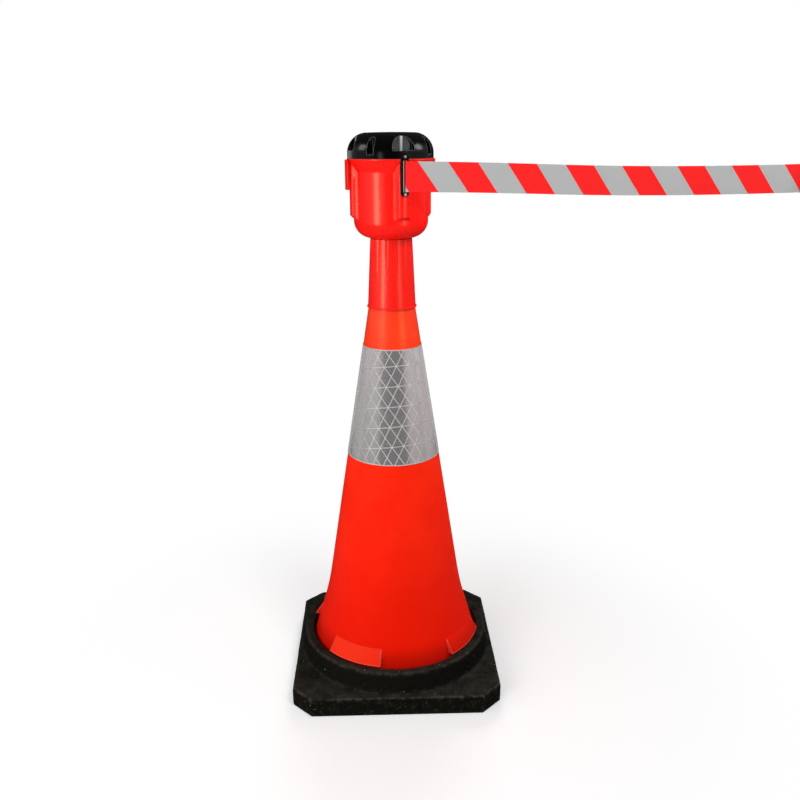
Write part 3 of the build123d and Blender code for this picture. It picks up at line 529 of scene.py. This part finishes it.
def reflective_film():
    """Retroreflective film: dull silver cells between raised pale seams in three directions, the seams
    with painted shade toward the sides.
    """
    material, tree, shader = new_finish("reflective_film")
    coords = object_coords(tree)
    around, across, down = film_sheet(tree)
    nearest, random = film_cells(tree, across, down)
    from_middle = calc(tree, "ABSOLUTE", calc(tree, "SUBTRACT", axes(tree, coords)["Z"], film_middle))
    border = ramp(tree, from_middle, *film_border)
    seam = calc(tree, "MAXIMUM", ramp(tree, nearest, *film_seam), border)
    grain = use(tree, grain_effect, Scale=900.0)
    cells = blend_colours(tree, grain["Tone"], shade(231, 224, 225), shade(229, 228, 227))
    prisms = put(tree, "ShaderNodeTexVoronoi", {"Vector": coords, "Scale": prism_scale}).outputs
    darker = ramp(tree, axes(tree, prisms["Color"])["X"], *prism_span, 0.0, 0.08)
    cells = blend_colours(tree, darker, cells, shade(200, 198, 197))
    smudges = use(tree, scuff_effect, Scale=42.0, Amount=0.35)["Mask"]
    cells = blend_colours(tree, smudges, cells, shade(206, 202, 200))
    # Painted shade: the seams darken towards the film's sides
    turned = calc(tree, "ABSOLUTE", around)
    front = ramp(tree, turned, radians(seam_shade_turn[0]), radians(seam_shade_turn[1]))
    seams = blend_colours(tree, front, shade(168, 165, 164), shade(196, 193, 192))
    tree.links.new(blend_colours(tree, seam, cells, seams), shader["Base Color"])
    tree.links.new(ramp(tree, seam, 0.0, 1.0, 0.80, 0.05), shader["Metallic"])
    dulled = calc(tree, "MULTIPLY_ADD", smudges, 0.3, ramp(tree, seam, 0.0, 1.0, 0.22, 0.6))
    tree.links.new(dulled, shader["Roughness"])
    centred = vector_calc(tree, "SUBTRACT", random, (0.5, 0.5, 0.5))
    facet = vector_calc(tree, "SCALE", centred, Scale=film_facet)
    tilted = vector_calc(tree, "NORMALIZE", vector_calc(tree, "ADD", surface_normal(tree), facet))
    inputs = {"Strength": 0.4, "Distance": 0.0002, "Height": seam, "Normal": tilted}
    tree.links.new(put(tree, "ShaderNodeBump", inputs).outputs["Normal"], shader["Normal"])
    return material


def belt_webbing():
    """Woven belt with slanted red and grey stripes, printed along its own length and width."""
    material, tree, shader = new_finish("belt_webbing")
    place = axes(tree, put(tree, "ShaderNodeUVMap", uv_map="belt").outputs[0])
    length, width = place["X"], place["Y"]
    first = -stripe_slant / 2 - stripe_first
    lean = calc(tree, "MULTIPLY_ADD", width, stripe_slant / belt_width, first)
    stripes = calc(tree, "MULTIPLY", calc(tree, "ADD", length, lean), 1.0 / stripe_pitch)
    red_part = calc(tree, "LESS_THAN", calc(tree, "FRACT", stripes), 0.5)
    warp = calc(tree, "SINE", calc(tree, "MULTIPLY", width, 2 * pi / warp_pitch))
    weft = calc(tree, "MULTIPLY", calc(tree, "ADD", length, width), 2 * pi / weft_pitch)
    weave = calc(tree, "MULTIPLY", warp, calc(tree, "SINE", weft))
    yarn = ramp(tree, weave, -1.0, 1.0)
    red = blend_colours(tree, yarn, shade(250, 30, 30), shade(255, 38, 38))
    grey = blend_colours(tree, yarn, shade(170, 171, 171), shade(188, 188, 188))
    tree.links.new(blend_colours(tree, red_part, grey, red), shader["Base Color"])
    tree.links.new(ramp(tree, yarn, 0.0, 1.0, 0.78, 0.62), shader["Roughness"])
    shader["Specular IOR Level"].default_value = 0.2
    shader["Sheen Weight"].default_value = 0.05
    bump = put(tree, "ShaderNodeBump", {"Strength": 0.25, "Distance": 0.0001, "Height": weave})
    tree.links.new(bump.outputs["Normal"], shader["Normal"])
    return material


def metal(name, light, dark, roughness, grain_scale=700.0, metallic=1.0):
    """Plated or sprung steel with a faint rolled grain."""
    material, tree, shader = new_finish(name)
    grain = use(tree, grain_effect, Scale=grain_scale)
    colour = blend_colours(tree, ramp(tree, grain["Tone"], *tone_span), dark, light)
    tree.links.new(colour, shader["Base Color"])
    dulled = ramp(tree, grain["Grain"], *grain_span, roughness - 0.08, roughness + 0.1)
    tree.links.new(dulled, shader["Roughness"])
    shader["Metallic"].default_value = metallic
    raise_grain(tree, shader, grain["Grain"], depth=0.00005, strength=0.3, edge_round=0.0002)
    return material


# The pale edge colours of the red housing and the black gloss and satin are part wear and part painted
# highlight
finishes = {
    "black_rubber": black_rubber(),
    "cone_pvc": cone_pvc(),
    "reflective_film": reflective_film(),
    "sleeve_pvc": moulded("sleeve_pvc", shade(255, 30, 20), shade(250, 26, 17), shade(255, 74, 58),
                          roughness=0.28, dust=0.03, edges=0.1, specular=0.4),
    "red_housing": moulded("red_housing", shade(255, 21, 11), shade(252, 18, 9), shade(255, 80, 64),
                           roughness=0.24, dust=0.03, scuffs=0.06, edges=0.5, specular=0.4,
                           rounding=0.0024, edge_width=0.0016),
    "black_gloss": moulded("black_gloss", shade(5, 5, 6), shade(3, 3, 4), shade(128, 132, 134),
                           roughness=0.18, dust=0.02, scuffs=0.02, edges=0.65,
                           rounding=0.0010, edge_width=0.0015),
    "black_satin": moulded("black_satin", shade(6, 6, 6), shade(3, 3, 3), shade(190, 182, 180),
                           roughness=0.5, dust=0.0, scuffs=0.02, edges=0.4, specular=0.15),
    "black_steel": metal("black_steel", shade(70, 70, 72), shade(48, 48, 50), roughness=0.35),
    "zinc_steel": metal("zinc_steel", shade(205, 206, 208), shade(178, 180, 184),
                        roughness=0.32, metallic=0.6),
    "spring_steel": metal("spring_steel", shade(150, 156, 168), shade(120, 126, 138),
                          roughness=0.28, grain_scale=500.0),
    "nylon": moulded("nylon", shade(34, 34, 36), shade(26, 26, 28), shade(70, 70, 72),
                     roughness=0.45, dust=0.0, scuffs=0.02, edges=0.1),
    "spool_plastic": moulded("spool_plastic", shade(56, 58, 60), shade(44, 46, 48), shade(90, 92, 94),
                             roughness=0.42, dust=0.05, scuffs=0.05),
    "belt_webbing": belt_webbing(),
    "grit": moulded("grit", shade(206, 204, 196), shade(150, 148, 138), shade(220, 220, 214),
                    roughness=0.7, dust=0.0, edges=0.0, specular=0.2),
}


# Painted highlights and rounded places of the head


def paint_over(tree, mask, colour):
    """Lays a colour over a finish where a mask holds."""
    base = tree.nodes["Principled BSDF"].inputs["Base Color"]
    tree.links.new(blend_colours(tree, mask, base.links[0].from_socket, colour), base)


def paint_slot_lip_highlight(material):
    """A painted highlight: a paler line along the lip of the belt slot."""
    tree = material.node_tree
    inputs = {"Vector": object_coords(tree), "Angle": radians(-head_turn)}
    turned = put(tree, "ShaderNodeVectorRotate", inputs, rotation_type="Z_AXIS").outputs[0]
    place = axes(tree, turned)
    across = calc(tree, "ABSOLUTE", calc(tree, "SUBTRACT", place["X"], lip_middle))
    along = calc(tree, "ABSOLUTE", calc(tree, "SUBTRACT", place["Z"], belt_mid))
    marked = overlap(tree, ramp(tree, across, *lip_edge), ramp(tree, along, *lip_end))
    paint_over(tree, marked, shade(176, 162, 160))


def place_on_head(tree):
    """A point's angle from the nearest boss, the direction that this angle grows in, its distance from
    the head's axis and its height."""
    place = axes(tree, object_coords(tree))
    front = calc(tree, "MULTIPLY", place["Y"], -1.0)
    around = calc(tree, "SUBTRACT", calc(tree, "ARCTAN2", place["X"], front), radians(head_turn))
    beside = calc(tree, "WRAP", around, pi / 4, -pi / 4)
    sideways = put(tree, "ShaderNodeCombineXYZ", {0: front, 1: place["X"]}).outputs[0]
    return beside, sideways, vector_calc(tree, "LENGTH", sideways), place["Z"]


def between(tree, value, low, high):
    """Where a value is between two others."""
    above = calc(tree, "GREATER_THAN", value, low)
    return overlap(tree, above, calc(tree, "LESS_THAN", value, high))


def paint_cap_rib_highlights(material):
    """A painted highlight: a paler front on the rib in each of the cap's arches."""
    tree = material.node_tree
    beside, _, away, _ = place_on_head(tree)
    across = calc(tree, "MULTIPLY", away, calc(tree, "SINE", beside))
    ahead = calc(tree, "MULTIPLY", away, calc(tree, "COSINE", beside))
    left_edge = calc(tree, "GREATER_THAN", across, -rib_radius)
    front = overlap(tree, left_edge, ramp(tree, across, rib_radius, 0.0))
    marked = overlap(tree, between(tree, ahead, rib_inner, rib_outer), front)
    paint_over(tree, marked, shade(182, 184, 187))


def crown_bosses(material):
    """A slightly rounded face on each of the pot's four bosses."""
    tree = material.node_tree
    bump = tree.nodes["Bump"].inputs["Normal"]
    beside, sideways, away, height = place_on_head(tree)
    upper = ramp(tree, height, boss_top, boss_top - boss_fade)
    on_boss = overlap(tree, between(tree, away, boss_inner, boss_outer), upper)
    turn = overlap(tree, calc(tree, "MULTIPLY", beside, boss_crown), on_boss)
    options = {"convert_from": "OBJECT", "convert_to": "WORLD"}
    aside = put(tree, "ShaderNodeVectorTransform", {0: sideways}, **options).outputs[0]
    tilt = vector_calc(tree, "SCALE", vector_calc(tree, "NORMALIZE", aside), Scale=turn)
    crowned = vector_calc(tree, "ADD", bump.links[0].from_socket, tilt)
    tree.links.new(vector_calc(tree, "NORMALIZE", crowned), bump)


def dress_cad_nodes():
    """Gives each carried-over node the finish of its slot, and three small pieces another one."""
    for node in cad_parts.values():
        for place in node.material_slots:
            place.material = finishes[place.material.name]
    crown_bosses(finishes["red_housing"])
    paint_cap_rib_highlights(finishes["black_gloss"])
    paint_slot_lip_highlight(finishes["black_satin"])
    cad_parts["slot_trim"].material_slots[0].material = finishes["black_satin"]
    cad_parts["trim_screws"].material_slots[0].material = finishes["zinc_steel"]
    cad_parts["thrust_washer"].material_slots[0].material = finishes["sleeve_pvc"]


# Mesh helpers


def show(thing):
    """Puts an object in the scene."""
    bpy.context.scene.collection.objects.link(thing)
    return thing


def new_piece(name, mesh, finish):
    """A piece at the origin with its place in its mesh and one finish."""
    piece = show(bpy.data.objects.new(name, mesh))
    mesh.materials.clear()
    mesh.materials.append(finishes[finish])
    return piece


def plain_mesh(piece):
    """The piece as its modifiers make it, as a mesh of its own."""
    shown = piece.evaluated_get(bpy.context.evaluated_depsgraph_get())
    return bpy.data.meshes.new_from_object(shown)


# Geometry node helpers


def form_tree(name, sizes):
    """A geometry tree that takes a mesh, named sizes and a finish, and gives one mesh."""
    tree = bpy.data.node_groups.new(name, "GeometryNodeTree")
    tree.interface.new_socket("Geometry", in_out="INPUT", socket_type="NodeSocketGeometry")
    for size in sizes:
        tree.interface.new_socket(size, in_out="INPUT", socket_type="NodeSocketFloat")
    tree.interface.new_socket("Finish", in_out="INPUT", socket_type="NodeSocketMaterial")
    tree.interface.new_socket("Geometry", in_out="OUTPUT", socket_type="NodeSocketGeometry")
    return tree, put(tree, "NodeGroupInput").outputs, put(tree, "NodeGroupOutput")


def finish_tree(tree, form, given, result):
    """Ends a geometry tree with one real mesh in the given finish."""
    real = put(tree, "GeometryNodeRealizeInstances", {"Geometry": form}).outputs["Geometry"]
    dressed = put(tree, "GeometryNodeSetMaterial", {"Geometry": real, "Material": given["Finish"]})
    tree.links.new(dressed.outputs["Geometry"], result.inputs["Geometry"])


def point_place(tree):
    return axes(tree, put(tree, "GeometryNodeInputPosition").outputs[0])


def store(tree, form, name, value):
    """Keeps a value with each point of a form under a name."""
    inputs = {"Geometry": form, "Name": name, "Value": value}
    return put(tree, "GeometryNodeStoreNamedAttribute", inputs, data_type="FLOAT").outputs["Geometry"]


def stored(tree, name):
    """The value that was kept under a name."""
    kept = put(tree, "GeometryNodeInputNamedAttribute", {"Name": name}, data_type="FLOAT")
    return kept.outputs["Attribute"]


def grow(mesh, tree, finish, sizes):
    """Runs a geometry tree on a mesh with the given sizes and returns the mesh that it makes."""
    holder = show(bpy.data.objects.new("holder", mesh))
    modifier = holder.modifiers.new("form", "NODES")
    modifier.node_group = tree
    for socket in tree.interface.items_tree:
        if socket.in_out == "INPUT" and socket.name in sizes:
            modifier[socket.identifier] = sizes[socket.name]
        elif socket.in_out == "INPUT" and socket.name == "Finish":
            modifier[socket.identifier] = finishes[finish]
    made = plain_mesh(holder)
    bpy.data.objects.remove(holder)
    return made


# Belt


def line_through(name, points):
    """Points along a smooth line that has the given points as its controls."""
    curve = bpy.data.curves.new(name, "CURVE")
    curve.dimensions = "3D"
    spline = curve.splines.new("NURBS")
    spline.points.add(len(points) - 1)
    for point, place in zip(spline.points, points):
        point.co = (*place, 1.0)
    spline.order_u = 3
    spline.use_endpoint_u = True
    spline.resolution_u = 24
    holder = show(bpy.data.objects.new(name, curve))
    line = [vertex.co.copy() for vertex in plain_mesh(holder).vertices]
    bpy.data.objects.remove(holder)
    return line


def line_length(line):
    return sum((after - before).length for before, after in zip(line, line[1:]))


def belt_tree():
    """Geometry nodes that stand a flat strip along a line and map its length and width for the print."""
    tree, given, result = form_tree("belt_strip", ["Width", "Thickness", "Edge", "Start"])
    path = put(tree, "GeometryNodeMeshToCurve", {"Mesh": given["Geometry"]}).outputs["Curve"]
    path = put(tree, "GeometryNodeSetCurveNormal", {"Curve": path}, mode="Z_UP").outputs["Curve"]
    length = put(tree, "GeometryNodeSplineParameter").outputs["Length"]
    path = store(tree, path, "along", length)
    inputs = {"Width": given["Thickness"], "Height": given["Width"]}
    flat = put(tree, "GeometryNodeCurvePrimitiveQuadrilateral", inputs)
    inputs = {"Curve": flat.outputs["Curve"], "Radius": given["Edge"], "Count": 1}
    eased = put(tree, "GeometryNodeFilletCurve", inputs, mode="POLY")
    section = store(tree, eased.outputs["Curve"], "up", point_place(tree)["Y"])
    inputs = {"Curve": path, "Profile Curve": section, "Fill Caps": True}
    strip = put(tree, "GeometryNodeCurveToMesh", inputs).outputs[0]
    along = calc(tree, "ADD", stored(tree, "along"), given["Start"])
    up = calc(tree, "SUBTRACT", calc(tree, "MULTIPLY", given["Width"], 0.5), stored(tree, "up"))
    print_place = put(tree, "ShaderNodeCombineXYZ", {"X": along, "Y": up}).outputs[0]
    inputs = {"Geometry": strip, "Name": "belt", "Value": print_place}
    mapped = put(tree, "GeometryNodeStoreNamedAttribute", inputs, data_type="FLOAT2", domain="CORNER")
    finish_tree(tree, mapped.outputs["Geometry"], given, result)
    return tree


belt_form = belt_tree()


def belt_strip(name, line, start):
    """The belt along a line of points, printed from a given length on."""
    mesh = bpy.data.meshes.new(name)
    mesh.from_pydata(line, [(k, k + 1) for k in range(len(line) - 1)], [])
    sizes = {"Width": belt_width, "Thickness": belt_thickness, "Edge": belt_edge_round, "Start": start}
    made = grow(mesh, belt_form, "belt_webbing", sizes)
    for layer in ("along", "up"):
        made.attributes.remove(made.attributes[layer])
    made.shade_smooth()
    made.set_sharp_from_angle(angle=radians(belt_crease))
    return new_piece(name, made, "belt_webbing")


def free_belt():
    """The belt from the slot to its end clip."""
    ahead = Vector((cos(radians(belt_heading)), sin(radians(belt_heading)), 0.0))
    points = [belt_start + ahead * reach + Vector((0, 0, height)) for reach, height in belt_route]
    line = line_through("belt_line", points)
    piece = belt_strip("belt_free_webbing", line, 0.0)
    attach(piece, "head")
    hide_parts("belt_free")
    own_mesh(piece)


def lead_belt():
    """The belt between the roll and the outside of the slot."""
    turn = Matrix.Rotation(radians(head_turn), 3, "Z")
    points = [turn @ Vector((x, y, 0.0)) + Vector((0, 0, belt_mid)) for x, y in lead_route]
    line = line_through("lead_line", points)
    length = line_length(line)
    line.append(line[-1] + (line[-1] - line[-2]).normalized() * belt_overlap)
    piece = belt_strip("belt_lead_webbing", line, -length)
    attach(piece, "head")
    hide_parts("belt_lead")


def wound_belt():
    """The belt on its spool, as one strip wound layer on layer."""
    layers = int((roll_outer - roll_inner) / belt_thickness)
    line = []
    for step in range(layers * roll_steps + 1):
        turn = 2 * pi * step / roll_steps
        radius = roll_inner + roll_margin + belt_thickness * step / roll_steps
        if radius < roll_outer - roll_margin:
            line.append(Vector((radius * cos(turn), radius * sin(turn), belt_mid)))
    piece = belt_strip("belt_roll_webbing", line, 0.0)
    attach(piece, "spool_set")
    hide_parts("belt_roll")


# Rubber base


def base_wear(place, outward):
    """A point of the base moved out or in by its wear. The underside stays flat."""
    if place.z < base_underside:
        return place.copy()
    wave = noise.noise(place * wave_scale) * wave_height
    ripple = noise.noise(place * ripple_scale) * ripple_height
    moved = place + outward * (wave + ripple)
    return Vector((moved.x, moved.y, max(moved.z, 0.0)))


def grit_tree():
    """Geometry nodes that scatter small pale chips over the outside of the base."""
    tree, given, result = form_tree("base_grit", ["Density", "Smallest", "Largest", "Inside"])
    place = point_place(tree)
    squares = [calc(tree, "MULTIPLY", place[axis], place[axis]) for axis in ("X", "Y")]
    away = calc(tree, "SQRT", calc(tree, "ADD", *squares))
    outer = calc(tree, "GREATER_THAN", away, given["Inside"])
    raised = calc(tree, "GREATER_THAN", place["Z"], given["Largest"])
    inputs = {"Mesh": given["Geometry"], "Selection": overlap(tree, outer, raised),
              "Density": given["Density"], "Seed": grit_seed}
    points = put(tree, "GeometryNodeDistributePointsOnFaces", inputs).outputs
    chip = put(tree, "GeometryNodeMeshIcoSphere", {"Radius": 1.0, "Subdivisions": 1}).outputs["Mesh"]
    inputs = {2: given["Smallest"], 3: given["Largest"], "Seed": grit_seed}
    size = put(tree, "FunctionNodeRandomValue", inputs, data_type="FLOAT").outputs[1]
    inputs = {"Points": points["Points"], "Instance": chip, "Rotation": points["Rotation"],
              "Scale": size}
    chips = put(tree, "GeometryNodeInstanceOnPoints", inputs).outputs["Instances"]
    finish_tree(tree, chips, given, result)
    return tree


def base_grit(base):
    """Pale chips of grit that stick to the rubber."""
    sizes = {"Density": grit_density, "Smallest": grit_smallest, "Largest": grit_largest,
             "Inside": grit_inside}
    mesh = grow(base.data.copy(), grit_tree(), "grit", sizes)
    piece = new_piece("base_grit", mesh, "black_rubber")
    mesh.materials[0] = finishes["grit"]
    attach(piece, "cone")


def worn_base():
    """The base with softened, slightly uneven rubber faces."""
    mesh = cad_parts["rubber_base"].data.copy()
    form = bmesh.new()
    form.from_mesh(mesh)
    bmesh.ops.remove_doubles(form, verts=form.verts, dist=base_merge)
    form.to_mesh(mesh)
    form.free()
    piece = new_piece("base_rubber", mesh, "black_rubber")
    remesh = piece.modifiers.new("even_mesh", "REMESH")
    remesh.mode = "VOXEL"
    remesh.voxel_size = base_voxel
    relax = piece.modifiers.new("worn_edges", "SMOOTH")
    relax.factor = 0.5
    relax.iterations = 4
    mesh = plain_mesh(piece)
    piece.modifiers.clear()
    piece.data = mesh
    worn = [base_wear(vertex.co, vertex.normal) for vertex in mesh.vertices]
    for vertex, place in zip(mesh.vertices, worn):
        vertex.co = place
    mesh.materials.clear()
    mesh.materials.append(finishes["black_rubber"])
    mesh.shade_smooth()
    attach(piece, "cone")
    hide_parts("rubber_base")
    base_grit(piece)


# Studio


def studio_camera():
    """The camera where the photograph was taken from."""
    data = bpy.data.cameras.new("camera")
    data.sensor_width = camera_sensor
    data.lens = camera_lens
    camera = show(bpy.data.objects.new("camera", data))
    turn = Matrix.Rotation(radians(camera_yaw), 4, "Z")
    turn = turn @ Matrix.Rotation(radians(90.0 - camera_pitch), 4, "X")
    turn = turn @ Matrix.Rotation(radians(camera_roll), 4, "Z")
    camera.matrix_world = Matrix.Translation(camera_place) @ turn
    bpy.context.scene.camera = camera


def studio_world():
    """A white background and even light. Gloss mirrors pale side walls in an otherwise dark room."""
    world = bpy.data.worlds.new("studio")
    world.use_nodes = True
    tree = world.node_tree
    tree.nodes.clear()
    rays = put(tree, "ShaderNodeLightPath").outputs
    mirrored = calc(tree, "MAXIMUM", rays["Is Glossy Ray"], rays["Is Transmission Ray"])
    direction = axes(tree, put(tree, "ShaderNodeTexCoord").outputs["Generated"])
    sides = ramp(tree, calc(tree, "ABSOLUTE", direction["X"]), *wall_sideways)
    low = ramp(tree, direction["Z"], *wall_upright)
    walls = ramp(tree, overlap(tree, sides, low), 0.0, 1.0, room_dark, room_sides)
    level = put(tree, "ShaderNodeMix", {0: mirrored, 2: room_light, 3: walls}).outputs[0]
    level = put(tree, "ShaderNodeMix", {0: rays["Is Camera Ray"], 2: level, 3: 1.0}).outputs[0]
    light = put(tree, "ShaderNodeBackground", {"Color": (*white_light, 1.0), "Strength": level})
    put(tree, "ShaderNodeOutputWorld", {"Surface": light.outputs[0]})
    world.cycles.sampling_method = "NONE"
    bpy.context.scene.world = world


def mix_shaders(tree, share, first, second):
    return put(tree, "ShaderNodeMixShader", {0: share, 1: first, 2: second}).outputs[0]


def glow(tree, strength):
    return put(tree, "ShaderNodeEmission", {"Strength": strength}).outputs[0]


def pale_floor():
    """Pale near the stand, where it takes the shadow, plain white further out, and dark in gloss."""
    material = bpy.data.materials.new("pale_floor")
    material.use_nodes = True
    tree = material.node_tree
    tree.nodes.clear()
    pale = (floor_grey, floor_grey, floor_grey, 1.0)
    lit = put(tree, "ShaderNodeBsdfDiffuse", {"Color": pale}).outputs[0]
    shadowed = put(tree, "ShaderNodeAddShader", {0: lit, 1: glow(tree, floor_lift)}).outputs[0]
    far = ramp(tree, vector_calc(tree, "LENGTH", object_coords(tree)), *floor_fade)
    shown = mix_shaders(tree, far, shadowed, glow(tree, 1.0))
    rays = put(tree, "ShaderNodeLightPath").outputs
    mixed = mix_shaders(tree, rays["Is Camera Ray"], lit, shown)
    mixed = mix_shaders(tree, rays["Is Glossy Ray"], mixed, glow(tree, room_dark))
    put(tree, "ShaderNodeOutputMaterial", {"Surface": mixed})
    return material


def studio_floor():
    """The floor that the stand is on."""
    mesh = bpy.data.meshes.new("floor")
    signs = [(-1, -1), (1, -1), (1, 1), (-1, 1)]
    corners = [(x * floor_half, y * floor_half, -floor_drop) for x, y in signs]
    mesh.from_pydata(corners, [], [(0, 1, 2, 3)])
    mesh.materials.append(pale_floor())
    floor = show(bpy.data.objects.new("floor", mesh))
    return floor


def softbox(name, azimuth, distance, height, width, tallness, watts, tint):
    """A soft lamp that faces the stand. Azimuth 0 is the camera's side, and 90 is its right."""
    data = bpy.data.lights.new(name, "AREA")
    data.shape = "RECTANGLE"
    data.size = width
    data.size_y = tallness
    data.energy = watts
    data.color = tint
    lamp = show(bpy.data.objects.new(name, data))
    turn = radians(azimuth)
    lamp.location = (sin(turn) * distance, -cos(turn) * distance, height)
    aim = Vector(lamp_aim) - lamp.location
    lamp.rotation_euler = aim.to_track_quat("-Z", "Y").to_euler()
    return lamp


def aim_lamps(way, pieces, lamps):
    """Lets lamps light the given pieces alone, or all but those. Other lamps light everything."""
    chosen = bpy.data.collections.new("lit")
    for piece in pieces:
        chosen.objects.link(piece)
    for entry in chosen.collection_objects:
        entry.light_linking.link_state = way
    for lamp in lamps:
        lamp.light_linking.receiver_collection = chosen


def studio_lamps(floor):
    """Soft lamps round the stand, some of them for one piece alone."""
    lamps = {}
    for name, values in gloss_lamps.items():
        lamps[name] = softbox(name, *values)
        lamps[name].visible_diffuse = False
    for name, values in wash_lamps.items():
        lamps[name] = softbox(name, *values)
        lamps[name].visible_glossy = False
    for node, names in own_lamps.items():
        aim_lamps("INCLUDE", [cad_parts[node]], [lamps[name] for name in names])
    unkeyed = [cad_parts[node] for node in unkeyed_nodes]
    aim_lamps("EXCLUDE", unkeyed, [lamps["left_key"], lamps["right_fill"]])
    aim_lamps("EXCLUDE", [floor], [lamps["right_wash"]])
    aim_lamps("INCLUDE", [floor], [lamps["back_wash"]])


studio_camera()
studio_world()
studio_lamps(studio_floor())
bpy.context.scene.view_settings.view_transform = "Standard"

dress_cad_nodes()
free_belt()
lead_belt()
wound_belt()
worn_base()
